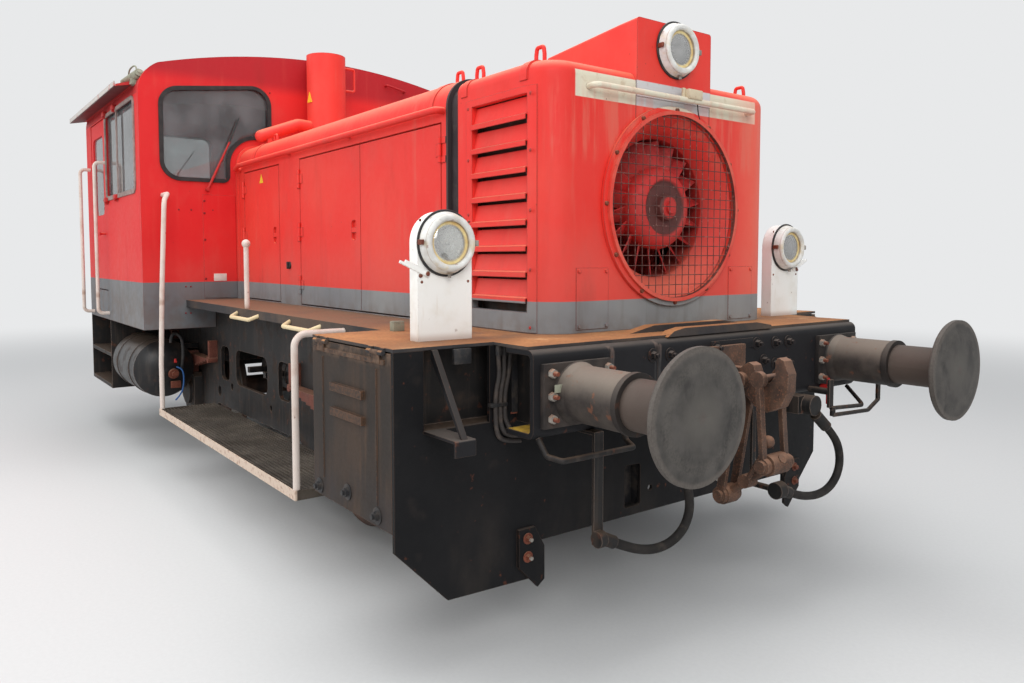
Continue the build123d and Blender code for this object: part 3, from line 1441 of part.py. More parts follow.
def walkway_handles():
    """Grab handles that slope down from under the walkway's edge, beside the platforms."""
    root = (-walkway_y + 14, deck_z - 26)
    bar = (-walkway_y - 50, deck_z - 54)
    near = []
    for low, high in walkway_handles_table:
        handle = tube([(low - 30, *root), (low, *bar), (high, *bar), (high + 30, *root)], 24, 26)
        inside = block((low - 60, high + 60), (-walkway_y, -walkway_y + 60), (deck_z - 90, deck_z))
        near.append(handle - inside)
    return near + [far(item) for item in near]


def door_rails():
    """Tall rails on both sides of each cab door."""
    top = 2390
    outer_y = -cab_half_width - 88
    near = []
    for x, low in ((cab_door_front_x + 35, 1090), (cab_door_rear_x - 75, 1070)):
        near.append(tube([(x, -cab_half_width, low), (x, outer_y, low), (x, outer_y, top),
                          (x, -cab_half_width, top)], 30, 40))
    return near + [far(item) for item in near]


def build():
    os.makedirs(PARTS, exist_ok=True)
    axle_set = wheelset()
    save("wheelset_front", [Pos(axle_x, 0, axle_z) * axle_set])
    save("wheelset_rear", [Pos(-axle_x, 0, axle_z) * axle_set])
    save("axle_boxes", corners(axle_box()))
    save("leaf_springs", corners(leaf_spring()))
    save("brake_gear", corners(brake_rigging()))
    save("frame_plates", [frame()])
    save("headstocks", [headstock(), rear(headstock())])
    save("aprons", [join([apron(True), guard_iron(), far(guard_iron()), front_step()]), apron(False)])
    save("deck", [deck()])
    save("deck_edges", deck_edges())
    save("side_boxes", [side_box(apron_x - apron_sheet, True), far(side_box(box_far_front_x, False))])
    save("side_box_flap_near", [side_box_flap(apron_x - apron_sheet - 2)])
    save("side_box_flap_far", [far(side_box_flap(box_far_front_x))])
    save("platforms", sides(grating()))
    save("cab_steps", sides(cab_step()))
    tank = air_tank((-2040, -1110), -1270, 690, 228, 840)
    inner_tank = air_tank((-360, 330), -640, 760, 150, 760)
    save("air_tanks", sides(tank) + sides(inner_tank))
    save("buffer_housings", corners(buffer_housing()))
    save("buffer_heads", corners(buffer_head()))
    hooks = draw_hook()
    save("draw_hooks", hooks + [rear(piece) for piece in hooks])
    links = screw_coupling()
    save("screw_couplings", links + [rear(piece) for piece in links])
    save("brake_hose_near", [hose(hose_near_points, "near hose")])
    save("brake_hose_far", [hose(hose_far_points, "far hose")])
    save("brake_pipes", brake_pipes())
    save("uncoupling_rods", uncoupling_rods())
    save("lamp_pillars", [lamp_pillar(pillar_near_y), far(lamp_pillar(-pillar_far_y))])
    save("lamps", [lamp_body(*row) for row in lamps_table])
    save("lamp_glasses", [lamp_glass(*row) for row in lamps_table])
    save("engine_hood", [engine_hood()])
    for name, hinge, free, latched in hood_doors_table:
        leaf = hood_door(hinge, free, latched)
        save("hood_door_near_" + name, [leaf])
        save("hood_door_far_" + name, [far(leaf)])
    save("radiator_hood", [radiator_hood()])
    slats = louvres()
    save("radiator_louvres", slats + [far(slat) for slat in slats])
    save("radiator_cores", sides(radiator_core()))
    save("hood_gaiter", [gaiter()])
    save("fan_shroud", [fan_shroud()])
    save("fan_guard", [fan_guard()])
    save("fan_rotor", [fan_rotor()])
    save("engine_block", [engine_block()])
    save("transmission", [transmission()])
    save("exhaust", [exhaust()])
    save("cab_front", [cab_front_wall()])
    save("cab_rear", [cab_rear_wall()])
    save("cab_sides", sides(cab_side_wall()))
    save("cab_roof", [cab_roof()])
    save("cab_floor", [cab_floor()])
    save("cab_door_near", [cab_door()])
    save("cab_door_far", [far(cab_door())])
    save("door_glass_near", [door_glass()])
    save("door_glass_far", [far(door_glass())])
    save("cab_glazing", cab_glazing())
    save("window_frames", window_frames())
    save("control_desk", [desk()])
    save("driver_seats", [seat(-760), seat(760)])
    save("handrails", handrails())
    save("walkway_handles", walkway_handles())
    save("door_rails", door_rails())


build()
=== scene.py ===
"""Looks of a two-axle diesel shunting locomotive, dressed around its solid model.

Metres. +X points to the hood end, +Y to the vehicle's left, +Z up, z = 0 at the wheel flange tips.
"""

import json
from math import cos, pi, radians, sin

import bmesh
import bpy
from mathutils import Matrix, Vector


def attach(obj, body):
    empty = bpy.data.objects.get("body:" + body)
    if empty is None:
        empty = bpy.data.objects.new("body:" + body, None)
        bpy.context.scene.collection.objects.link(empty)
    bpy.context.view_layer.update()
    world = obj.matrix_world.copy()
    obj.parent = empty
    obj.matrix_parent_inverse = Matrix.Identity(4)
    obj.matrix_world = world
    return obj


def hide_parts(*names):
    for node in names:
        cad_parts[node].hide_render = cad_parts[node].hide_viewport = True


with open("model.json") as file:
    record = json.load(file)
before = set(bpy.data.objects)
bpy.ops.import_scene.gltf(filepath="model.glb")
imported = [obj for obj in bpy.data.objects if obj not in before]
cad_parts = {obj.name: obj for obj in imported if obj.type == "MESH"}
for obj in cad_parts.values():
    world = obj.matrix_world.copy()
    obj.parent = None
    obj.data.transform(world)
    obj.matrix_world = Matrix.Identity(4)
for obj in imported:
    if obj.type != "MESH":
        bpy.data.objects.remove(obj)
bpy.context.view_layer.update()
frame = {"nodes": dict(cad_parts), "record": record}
nodes = frame["nodes"]


# Places and labels that several pieces and finishes share

both_sides = {-1: "near", 1: "far"}
both_ends = (-1, 1)
fan_z = 1.806
axle_x = 1.400
axle_z = 0.455
buffer_y = 0.875
buffer_z = 1.067
beam_face_x = 3.305
hood_front_x = 3.000
grey_top_z = 1.385


# Camera at the photograph's viewing angle

def make_camera():
    place = Vector((5.529, -2.843, 1.571))
    heading = radians(143.034)
    dip = radians(-3.409)
    ahead = Vector((cos(heading) * cos(dip), sin(heading) * cos(dip), sin(dip)))
    data = bpy.data.cameras.new("camera")
    data.sensor_width = 36.0
    data.lens = 27.93
    data.shift_y = -0.0356
    data.clip_end = 200.0
    camera = bpy.data.objects.new("camera", data)
    bpy.context.scene.collection.objects.link(camera)
    camera.location = place
    camera.rotation_mode = "QUATERNION"
    camera.rotation_quaternion = ahead.to_track_quat("-Z", "Y")
    bpy.context.scene.camera = camera


make_camera()


# Brake hoses: the same routes as in the solid model

hose_diameter = 0.038
hose_near_points = [
    (3.352, -0.712, 0.470), (3.356, -0.640, 0.436), (3.362, -0.560, 0.408), (3.370, -0.478, 0.398),
    (3.378, -0.400, 0.414), (3.384, -0.335, 0.460), (3.384, -0.304, 0.530), (3.378, -0.306, 0.604),
    (3.370, -0.322, 0.672),
]
hose_far_points = [
    (3.440, 0.598, 0.770), (3.448, 0.654, 0.720), (3.452, 0.694, 0.656), (3.454, 0.704, 0.582),
    (3.454, 0.674, 0.514), (3.452, 0.610, 0.470), (3.450, 0.532, 0.456), (3.448, 0.450, 0.462),
    (3.446, 0.372, 0.480), (3.444, 0.300, 0.506),
]
hose_length_near = 0.624
hose_length_far = 0.689


def make_tube(name, points, radius, steps, rings):
    """Round tube along a smooth curve that points guide."""
    data = bpy.data.curves.new(name, "CURVE")
    data.dimensions = "3D"
    line = data.splines.new("NURBS")
    line.points.add(len(points) - 1)
    for knot, point in zip(line.points, points):
        knot.co = (*point, 1.0)
    line.order_u = 3
    line.use_endpoint_u = True
    line.resolution_u = steps
    data.bevel_depth = radius
    data.bevel_resolution = rings
    tube = bpy.data.objects.new(name, data)
    bpy.context.scene.collection.objects.link(tube)
    return tube


hose_near = make_tube("brake_hose_near_rubber", hose_near_points, hose_diameter / 2, 12, 6)
hose_far = make_tube("brake_hose_far_rubber", hose_far_points, hose_diameter / 2, 12, 6)


# Shader sums

class Value:
    """An output of a node that takes part in Python sums."""

    def __init__(self, owner, socket):
        self.owner = owner
        self.socket = socket

    def part(self, name):
        return Value(self.owner, self.socket.node.outputs[name])

    def join(self, operation, first, second=0.0):
        return self.owner.node("Math", {"operation": operation}, {0: first, 1: second})

    def __add__(self, other):
        return self.join("ADD", self, other)

    def __radd__(self, other):
        return self.join("ADD", other, self)

    def __sub__(self, other):
        return self.join("SUBTRACT", self, other)

    def __rsub__(self, other):
        return self.join("SUBTRACT", other, self)

    def __mul__(self, other):
        return self.join("MULTIPLY", self, other)

    def __rmul__(self, other):
        return self.join("MULTIPLY", other, self)

    def __abs__(self):
        return self.join("ABSOLUTE", self)

    def __or__(self, other):
        return self.join("MAXIMUM", self, other)


def tone(red, green, blue):
    """A colour as it looks on a screen, 0 to 255, turned into light values."""
    def light(level):
        share = level / 255
        return share / 12.92 if share <= 0.04045 else ((share + 0.055) / 1.055) ** 2.4
    return (light(red), light(green), light(blue), 1.0)


class Nodes:
    """The nodes of a finish or of the sky, all made by one method."""

    def __init__(self, tree):
        self.tree = tree
        tree.nodes.clear()

    def node(self, kind, settings=None, inputs=None, output=0):
        """A new node of a kind, its settings first, then the values or links of its sockets."""
        made = self.tree.nodes.new("ShaderNode" + kind)
        for name, value in (settings or {}).items():
            setattr(made, name, value)
        for key, value in (inputs or {}).items():
            if isinstance(value, Value):
                self.tree.links.new(value.socket, made.inputs[key])
            else:
                made.inputs[key].default_value = value
        return Value(self, made.outputs[output]) if len(made.outputs) else None

    def close(self, shader, end="OutputMaterial"):
        self.node(end, {}, {"Surface": shader})


class Finish(Nodes):
    """A material with the patterns that the finishes share, and the coat that they build up."""

    def __init__(self, name):
        self.material = bpy.data.materials.new(name)
        self.material.use_nodes = True
        super().__init__(self.material.node_tree)
        self.coat = None
        self.place = self.node("TexCoord").part("Object")
        apart = self.node("SeparateXYZ", {}, {0: self.place})
        self.x = apart.part("X")
        self.y = apart.part("Y")
        self.z = apart.part("Z")
        self.facing = self.node("NewGeometry").part("Normal")
        self.upward = self.node("SeparateXYZ", {}, {0: self.facing}).part("Z")

    def noise(self, size, detail=4.0, stretch=(1, 1, 1), shift=0.0):
        """Cloudy value about 0.5 whose blotches are about size metres across."""
        moved = self.node("Mapping", {}, {"Vector": self.place, "Location": (shift,) * 3, "Scale": stretch})
        return self.node("TexNoise", {}, {"Vector": moved, "Scale": 1 / size, "Detail": detail,
                                          "Roughness": 0.58})

    def cells(self, size):
        """Distance to the nearest of scattered points, for pits and dimples."""
        return self.node("TexVoronoi", {}, {"Vector": self.place, "Scale": 1 / size})

    def step(self, value, low, high):
        """0 where value is at low, 1 where it is at high, smooth between them."""
        return self.node("MapRange", {"interpolation_type": "SMOOTHSTEP"},
                         {"Value": value, "From Min": low, "From Max": high})

    def blotches(self, size, low, high, detail=6.0, stretch=(1, 1, 1), shift=0.0):
        """0 in the clear, 1 inside blotches about size metres across."""
        return self.step(self.noise(size, detail, stretch, shift), low, high)

    def radius(self, across, up):
        """Distance from an axis, worked out from the distances across and up."""
        return self.node("Math", {"operation": "SQRT"}, {0: across * across + up * up})

    def mix(self, share, under, over):
        """One colour where share is 0, the other where it is 1."""
        return self.node("Mix", {"data_type": "RGBA"}, {0: share, 6: under, 7: over}, 2)

    def over(self, share, colour):
        """Lays a colour over the coat where share is 1."""
        self.coat = self.mix(share, self.coat, colour)

    def rim(self, radius):
        """1 along the edges of the form, 0 on its open faces."""
        soft = self.node("Bevel", {"samples": 4}, {"Radius": radius})
        near = self.node("VectorMath", {"operation": "DOT_PRODUCT"}, {0: soft, 1: self.facing}, "Value")
        return self.step(near, 0.995, 0.90)

    def between(self, value, low, high, soft=0.004):
        """1 where value lies between low and high, fading to 0 past both ends."""
        return self.step(value, low - soft, low) * self.step(value, high + soft, high)

    def rise(self, height, strength, distance, radius=0.0):
        """A bumped normal on edges that are rounded by radius."""
        inputs = {"Height": height, "Strength": strength, "Distance": distance}
        if radius:
            inputs["Normal"] = self.node("Bevel", {"samples": 4}, {"Radius": radius})
        return self.node("Bump", {}, inputs)

    def finish(self, roughness, normal=None, **others):
        """Closes the material. Other sockets are named in small letters."""
        inputs = {"Base Color": self.coat, "Roughness": roughness}
        if normal is not None:
            inputs["Normal"] = normal
        for key, value in others.items():
            inputs[key.replace("_", " ").title().replace("Ior", "IOR")] = value
        self.close(self.node("BsdfPrincipled", {}, inputs))
        return self.material


dust_brown = tone(138, 112, 90)
rust_dark = tone(86, 46, 32)
rust_light = tone(150, 84, 50)


def red_coat(f, red, faded, streaks, part):
    """Red coat: bleached in clouds, faded on top, with painted shade along the cab's top under the roof,
    streaked, pale at its foot.
    """
    sun_fade = 0.25 if part == "roof" else 0.65
    clouds = f.noise(0.9, 5.0)
    patches = f.noise(0.22, 6.0, (1, 1, 0.6), 13.0)
    runs = f.noise(0.06, 5.0, (1, 1, 0.09))
    here = f.blotches(0.7, 0.42, 0.62, detail=3.0, shift=21.0)
    f.coat = f.mix(f.step(clouds, 0.35, 0.7) * 0.75, red, faded)
    f.over(f.step(patches, 0.5, 0.75) * 0.35, tone(206, 72, 62))
    f.over(f.step(f.upward, 0.25, 0.95) * sun_fade, tone(240, 132, 100))
    if part == "cab":
        # Painted shade: darker crimson along the top of the cab, where the roof overhangs it.
        f.over(f.step(f.z + 0.05 * clouds, 2.90, 3.02) * 0.8, tone(158, 4, 24))
    f.over(f.step(runs, 0.54, 0.76) * here * streaks * 0.8, tone(206, 100, 84))
    f.over(f.blotches(0.16, 0.55, 0.8, stretch=(1, 1, 0.10), shift=3.0) * streaks * 0.6, tone(150, 48, 44))
    f.over(f.step(f.z, 1.75, 1.42) * (0.15 + 0.4 * patches) * streaks, tone(206, 120, 108))
    return clouds, patches, runs


def front_marks(f, patches, runs, is_red):
    """Cream band, bleached far side, rain marks, painted shade inside the fan mouth and dark end face of
    the hood.
    """
    on_front = f.step(f.x, hood_front_x - 0.045, hood_front_x - 0.030)
    band = f.between(f.z, 2.250, 2.357) * f.step(abs(f.y), 0.612, 0.605) * on_front
    middle = f.step(abs(f.y), 0.252, 0.250) * f.step(f.x, 3.014, 3.010)
    cream = f.mix(middle, tone(216, 208, 186), tone(202, 200, 200))
    f.over(band, f.mix(f.blotches(0.05, 0.56, 0.74, shift=2.0) * 0.5, cream, tone(176, 146, 112)))
    bleached = f.step(f.y, 0.35, 0.70) * on_front * is_red
    f.over(bleached * (0.25 + 0.5 * patches), tone(240, 128, 104))
    weep = f.between(f.z, 2.05, 2.25, 0.10) * f.step(runs, 0.46, 0.6) * on_front
    f.over(weep * 0.3, tone(214, 128, 106))
    mouth = f.step(f.radius(f.y, f.z - fan_z), 0.428, 0.418) * f.step(f.x, 2.50, 2.52)
    # Painted shade inside the recessed fan mouth: darker deeper in, darkest under its top.
    mouth_shade = mouth * f.step(f.x + 0.03 * patches, 2.99, 2.82)
    f.over(mouth_shade * 0.85, f.mix(f.step(f.z, 1.6, 2.0), tone(120, 34, 34), tone(62, 12, 16)))
    f.over(f.between(f.x, 2.238, 2.256, 0.001), tone(50, 42, 44))


def roof_marks(f, patches):
    """Pale gutter strip and the shade under the eaves."""
    strip = f.step(abs(f.y), 1.600, 1.606) * f.blotches(0.08, 0.25, 0.45, detail=5.0, shift=6.0)
    f.over(strip, tone(196, 190, 184))
    under = f.step(f.upward, -0.3, -0.8) * f.step(abs(f.y), 1.49, 1.50)
    f.over(under * (0.7 + 0.3 * patches), tone(74, 16, 20))


def red_paint(name, red, faded, streaks, part):
    """Two-colour body paint of the hood, the cab or the roof: red over a grey base band."""
    f = Finish(name)
    clouds, patches, runs = red_coat(f, red, faded, streaks, part)
    greys = (tone(120, 123, 126), tone(146, 148, 147))
    if part == "cab":
        greys = (tone(98, 100, 104), tone(120, 119, 119))
    grey_coat = f.mix(f.step(clouds, 0.3, 0.75), *greys)
    grey_coat = f.mix(f.step(runs, 0.5, 0.72) * 0.3, grey_coat, tone(100, 94, 88))
    is_red = f.step(f.z, grey_top_z - 0.002, grey_top_z + 0.002)
    f.coat = f.mix(is_red, grey_coat, f.coat)
    if part == "hood":
        front_marks(f, patches, runs, is_red)
    if part == "roof":
        roof_marks(f, patches)
    fine = f.noise(0.03, 5.0)
    dirt = f.blotches(0.25, 0.56, 0.8, stretch=(1, 1, 0.3), shift=7.0)
    low = f.step(f.z, 1.75, 1.25)
    f.over(dirt * (0.14 + 0.25 * low) * (0.45 + 0.55 * is_red), tone(92, 74, 64))
    f.over(f.step(f.z, 1.36, 1.24) * f.blotches(0.09, 0.35, 0.65, shift=17.0) * 0.35, tone(96, 72, 56))
    f.over(f.step(f.rim(0.006) + fine * 0.9, 0.98, 1.2) * 0.55, tone(120, 56, 44))
    specks = f.step(f.cells(0.05), 0.08, 0.05) * f.blotches(0.4, 0.55, 0.7, detail=2.0, shift=5.0)
    f.over(specks * 0.6, rust_dark)
    normal = f.rise(fine * 0.5 + f.noise(0.5, 2.0), 0.12, 0.004, 0.005)
    return f.finish(0.46 + 0.25 * fine + 0.2 * dirt, normal, specular_ior_level=0.4)


def black_paint(name, dark, pale, dust=0.5, rust=0.3, gloss=0.42, rounding=0.004):
    """Dark frame paint with brown dust on ledges and rust where it has chipped."""
    f = Finish(name)
    clouds = f.noise(0.35, 6.0)
    fine = f.noise(0.02, 5.0)
    runs = f.noise(0.04, 3.0, (1, 1, 0.06))
    f.coat = f.mix(f.step(clouds, 0.35, 0.7), dark, pale)
    f.over(f.step(runs, 0.5, 0.74) * dust * 0.6, tone(112, 96, 84))
    grime = f.blotches(0.14, 0.5, 0.72, detail=7.0, shift=4.0)
    f.over(grime * dust, tone(92, 72, 58))
    f.over(f.step(f.upward, 0.4, 0.95) * (0.35 + 0.5 * clouds) * dust * 1.2, dust_brown)
    worn = f.step(f.rim(rounding * 1.5) + fine * 0.9, 0.85, 1.2)
    f.over(worn * 0.8, tone(122, 104, 92))
    spots = f.blotches(0.06, 0.60, 0.68, detail=8.0, shift=9.0)
    f.over(spots * rust, f.mix(fine, rust_dark, rust_light))
    roughness = gloss + 0.3 * grime + 0.15 * fine
    normal = f.rise(fine * 0.4 + spots * 0.5 + f.noise(0.3, 3.0), 0.18, 0.003, rounding)
    return f.finish(roughness, normal, specular_ior_level=0.4)


def beam_paint():
    """End beams and aprons: near-black paint, pale stains down the welds, rust at bolts and edges."""
    f = Finish("beam_grey")
    clouds = f.noise(0.5, 6.0)
    fine = f.noise(0.02, 5.0)
    patches = f.noise(0.12, 7.0, (1, 1, 1), 4.0)
    f.coat = f.mix(f.step(clouds, 0.35, 0.7), tone(7, 7, 10), tone(15, 14, 16))
    on_beam = f.step(abs(f.x), 3.13, 3.16)
    f.over(on_beam * (0.15 + 0.4 * clouds), tone(40, 39, 42))
    ragged = f.y + 0.03 * patches
    weld = f.between(ragged, -0.425, -0.395, 0.012) | f.between(ragged, -0.690, -0.665, 0.012)
    streaky = f.blotches(0.02, 0.4, 0.65, detail=4.0, stretch=(1, 1, 0.05), shift=8.0)
    pale_weld = f.mix(f.step(f.z, 1.14, 1.24), tone(96, 92, 90), tone(140, 116, 104))
    f.over(weld * on_beam * streaky * 0.55, pale_weld)
    f.over(f.step(f.upward, 0.35, 0.9) * (0.45 + 0.5 * patches), tone(96, 88, 82))
    smears = f.step(patches, 0.58, 0.76)
    f.over(smears * 0.3, tone(54, 46, 42))
    low = f.step(f.z, 0.75, 0.40) * f.blotches(0.25, 0.42, 0.68, stretch=(1, 1, 0.5), shift=9.0)
    f.over(low * 0.4, tone(56, 49, 44))
    worn = f.step(f.rim(0.005) + fine * 0.8, 0.9, 1.2)
    f.over(worn * 0.4, tone(96, 74, 60))
    chips = f.blotches(0.05, 0.65, 0.70, detail=8.0, shift=15.0)
    f.over(chips * 0.3, f.mix(fine, rust_dark, rust_light))
    normal = f.rise(fine * 0.35 + f.noise(0.4, 2.0) + chips * 0.2, 0.14, 0.004, 0.004)
    return f.finish(0.48 + 0.25 * patches + 0.1 * fine, normal, specular_ior_level=0.24)


def rusty_steel(name, base, light, grease=0.4, rounding=0.004):
    """Bare or once painted steel under an even brown rust, black with grease in places."""
    f = Finish(name)
    clouds = f.noise(0.09, 7.0)
    fine = f.noise(0.008, 4.0)
    f.coat = f.mix(f.step(clouds, 0.3, 0.7), base, light)
    f.over(f.step(fine, 0.5, 0.75) * 0.4, tone(170, 104, 70))
    oily = f.blotches(0.16, 0.44, 0.66, detail=4.0, shift=6.0) * grease
    f.over(oily, tone(42, 38, 36))
    f.over(f.step(f.upward, 0.2, 0.9) * (0.3 + 0.6 * clouds), tone(158, 118, 94))
    worn = f.rim(rounding * 1.5) * f.step(fine, 0.35, 0.6)
    f.over(worn * 0.5, tone(160, 130, 108))
    roughness = 0.78 - 0.4 * oily - 0.1 * fine
    normal = f.rise(clouds * 0.7 + fine * 0.4, 0.35, 0.004, rounding)
    return f.finish(roughness, normal, specular_ior_level=0.35)


def deck_paint():
    """Rust-brown walkway, sandy where feet have polished it, dark near the hood and towards the cab."""
    f = Finish("walkway_brown")
    clouds = f.noise(0.5, 7.0)
    fine = f.noise(0.015, 6.0)
    grit = f.cells(0.012)
    f.coat = f.mix(f.step(clouds, 0.35, 0.7), tone(146, 100, 66), tone(190, 134, 86))
    f.over(f.step(fine, 0.45, 0.75) * 0.5, tone(112, 78, 58))
    damp = f.blotches(0.3, 0.52, 0.72, shift=11.0)
    f.over(damp * 0.6, tone(100, 86, 74))
    pale = f.blotches(0.2, 0.58, 0.74, shift=19.0) * f.step(f.x, 2.4, 2.8)
    f.over(pale * 0.6, tone(220, 176, 130))
    back = f.step(f.x, 2.55, 1.9) * (0.45 + 0.6 * clouds)
    f.over(back, tone(104, 84, 70))
    sides = f.mix(f.step(clouds, 0.4, 0.65), tone(52, 50, 51), tone(88, 74, 64))
    f.over(f.step(f.upward, 0.5, 0.2), sides)
    normal = f.rise(grit * 0.6 + fine, 0.35, 0.003, 0.003)
    return f.finish(0.72 + 0.2 * fine, normal, specular_ior_level=0.3)


def white_paint(name, white, stain, chips=0.5):
    """Brush-painted white with rust weeping from chips and pink where the red shows through."""
    f = Finish(name)
    clouds = f.noise(0.12, 6.0)
    fine = f.noise(0.012, 5.0)
    f.coat = f.mix(f.step(clouds, 0.45, 0.75) * 0.6, white, stain)
    f.over(f.blotches(0.03, 0.6, 0.8, detail=3.0, stretch=(1, 1, 0.12)) * 0.3, tone(206, 188, 164))
    bare = f.step(f.noise(0.045, 7.0, (1, 1, 1), 8.0) + f.rim(0.005) * 0.12, 0.66, 0.72) * chips
    f.over(bare, f.mix(fine, rust_dark, rust_light))
    foot = f.step(f.z, 1.285, 1.25) * f.step(f.z, 1.22, 1.24) * 0.5
    f.over(foot, tone(150, 106, 74))
    normal = f.rise(fine * 0.3 - bare, 0.25, 0.0025, 0.004)
    return f.finish(0.42 + 0.25 * clouds, normal, specular_ior_level=0.4)


def box_door_paint():
    """Dark door of the side box with brown rust washed down it."""
    f = Finish("side_box_brown")
    clouds = f.noise(0.3, 6.0, (1, 1, 0.5))
    fine = f.noise(0.012, 6.0)
    runs = f.noise(0.05, 5.0, (1, 1, 0.07), 2.0)
    f.coat = f.mix(f.step(clouds, 0.35, 0.68), tone(37, 30, 25), tone(60, 45, 34))
    f.over(f.step(runs, 0.5, 0.72) * 0.4, tone(92, 66, 46))
    lower = f.step(f.z, 0.8, 0.6) * f.blotches(0.2, 0.4, 0.65, detail=5.0, shift=5.0)
    f.over(lower * 0.7, tone(44, 40, 41))
    worn = f.step(f.rim(0.004) + fine * 0.6, 0.85, 1.2)
    f.over(worn * 0.5, tone(126, 88, 62))
    proud = f.step(f.y, -1.507, -1.512) | f.step(f.y, 1.507, 1.512)
    f.over(proud * 0.3 * f.step(fine, 0.4, 0.6), tone(122, 82, 58))
    ledge = f.step(f.z, 1.165, 1.19) * f.blotches(0.06, 0.4, 0.62, shift=8.0)
    f.over(ledge * 0.5, tone(120, 96, 78))
    normal = f.rise(fine * 0.6 + clouds, 0.2, 0.003, 0.003)
    return f.finish(0.62 + 0.2 * fine, normal, specular_ior_level=0.35)


def rubber(name, dark, pale):
    """Dull rubber with dust on it."""
    f = Finish(name)
    clouds = f.noise(0.1, 5.0)
    fine = f.noise(0.006, 4.0)
    f.coat = f.mix(f.step(clouds, 0.35, 0.7), dark, pale)
    f.over(f.blotches(0.04, 0.55, 0.72, shift=3.0) * 0.3, tone(88, 78, 68))
    return f.finish(0.62 + 0.2 * fine, f.rise(fine, 0.2, 0.0015, 0.003), specular_ior_level=0.3)


def wheel_steel():
    """Oily wheel centre and axle, bright tread."""
    f = Finish("wheel_steel")
    clouds = f.noise(0.12, 6.0)
    fine = f.noise(0.01, 5.0)
    f.coat = f.mix(f.step(clouds, 0.35, 0.65), tone(70, 52, 44), tone(104, 74, 58))
    f.over(f.blotches(0.2, 0.5, 0.7, detail=4.0, shift=2.0) * 0.7, tone(44, 40, 38))
    ahead = f.step(f.x, 0.0, 0.001)
    radius = f.radius(f.x - axle_x * (2 * ahead - 1), f.z - axle_z)
    tread = f.step(radius, 0.4195, 0.4215) * f.step(abs(f.y), 0.715, 0.72) * f.step(abs(f.y), 0.808, 0.80)
    f.over(tread, tone(176, 170, 164))
    roughness = 0.66 - 0.36 * tread + 0.1 * fine
    return f.finish(roughness, f.rise(fine + clouds, 0.2, 0.003, 0.004), metallic=tread * 0.9)


def buffer_face_steel():
    """Worn round buffer face: rubbed grey, darker rings, rust at the rim."""
    f = Finish("buffer_face_steel")
    radius = f.radius(abs(f.y) - buffer_y, f.z - buffer_z)
    clouds = f.noise(0.09, 7.0)
    fine = f.noise(0.008, 4.0)
    f.coat = f.mix(f.step(clouds, 0.3, 0.7), tone(52, 49, 46), tone(78, 74, 70))
    middle = f.step(radius + 0.05 * clouds, 0.155, 0.06)
    f.over(middle * 0.6, tone(88, 84, 78))
    heart = f.step(radius + 0.03 * clouds, 0.045, 0.015)
    f.over(heart * 0.5, tone(78, 66, 62))
    smear = f.blotches(0.07, 0.54, 0.70, stretch=(1, 1, 0.6), shift=5.0) * f.step(radius, 0.05, 0.14)
    f.over(smear * 0.7, tone(36, 33, 32))
    rubbed = f.between(radius + 0.02 * clouds, 0.165, 0.185, 0.02) * f.step(fine, 0.35, 0.6)
    f.over(rubbed * 0.18, tone(104, 98, 90))
    rim = f.step(radius + 0.02 * clouds, 0.212, 0.226)
    f.over(rim * 0.5, f.mix(fine, tone(62, 52, 46), tone(124, 116, 108)))
    behind = f.step(abs(f.x), 3.878, 3.872)
    f.over(behind * 0.6, tone(84, 66, 56))
    return f.finish(0.55 + 0.25 * clouds, f.rise(clouds + fine * 0.4, 0.25, 0.003, 0.004), metallic=0.15)


def buffer_case_paint():
    """Buffer case: brown-grey grease film over old paint, dusty on top, rust at the flange."""
    f = Finish("buffer_case_brown")
    clouds = f.noise(0.12, 6.0)
    fine = f.noise(0.01, 5.0)
    f.coat = f.mix(f.step(clouds, 0.3, 0.7), tone(44, 38, 36), tone(74, 66, 60))
    f.over(f.step(f.upward, -0.05, 0.85) * 0.75, tone(134, 122, 110))
    oily = f.blotches(0.14, 0.5, 0.68, detail=5.0, shift=6.0) * f.step(f.upward, 0.6, 0.1)
    f.over(oily * 0.6, tone(26, 23, 22))
    spots = f.blotches(0.05, 0.6, 0.68, detail=7.0, shift=12.0)
    f.over(spots * 0.6, f.mix(fine, rust_dark, tone(150, 96, 66)))
    collar = f.between(abs(f.x) + 0.03 * clouds, 3.625, 3.668, 0.006)
    f.over(collar * 0.7, tone(34, 29, 27))
    plunger = f.step(abs(f.x), 3.668, 3.672)
    f.over(plunger * 0.6, f.mix(f.step(f.upward, 0.0, 0.8), tone(88, 72, 64), tone(134, 114, 98)))
    plate = f.step(abs(f.x), 3.336, 3.332)
    f.over(plate * 0.8, f.mix(f.step(clouds, 0.35, 0.65), tone(30, 28, 28), tone(62, 54, 50)))
    normal = f.rise(clouds + fine * 0.5 + spots * 0.3, 0.25, 0.003, 0.004)
    return f.finish(0.55 + 0.25 * fine - 0.15 * oily, normal, specular_ior_level=0.35)


def glass(name, tint, veil, dirt):
    """Thin pane: clear in the middle, a film of dirt, and mirror-like at a low angle."""
    f = Finish(name)
    through = f.node("BsdfTransparent", {}, {"Color": tint})
    mirror = f.node("BsdfGlossy", {}, {"Color": (1, 1, 1, 1), "Roughness": 0.03})
    film = f.node("BsdfDiffuse", {}, {"Color": veil})
    clean = f.node("MixShader", {}, {0: f.node("Fresnel", {}, {"IOR": 1.55}), 1: through, 2: mirror})
    dusty = f.blotches(0.3, 0.2, 0.8, detail=5.0) * dirt
    f.close(f.node("MixShader", {}, {0: dusty, 1: clean, 2: film}))
    return f.material


def mirror_metal(name, colour, roughness):
    """Lamp bowl, dulled a little in places."""
    f = Finish(name)
    fine = f.noise(0.02, 4.0)
    f.coat = f.mix(fine, colour, tone(190, 182, 168))
    return f.finish(roughness + 0.15 * fine, metallic=1.0)


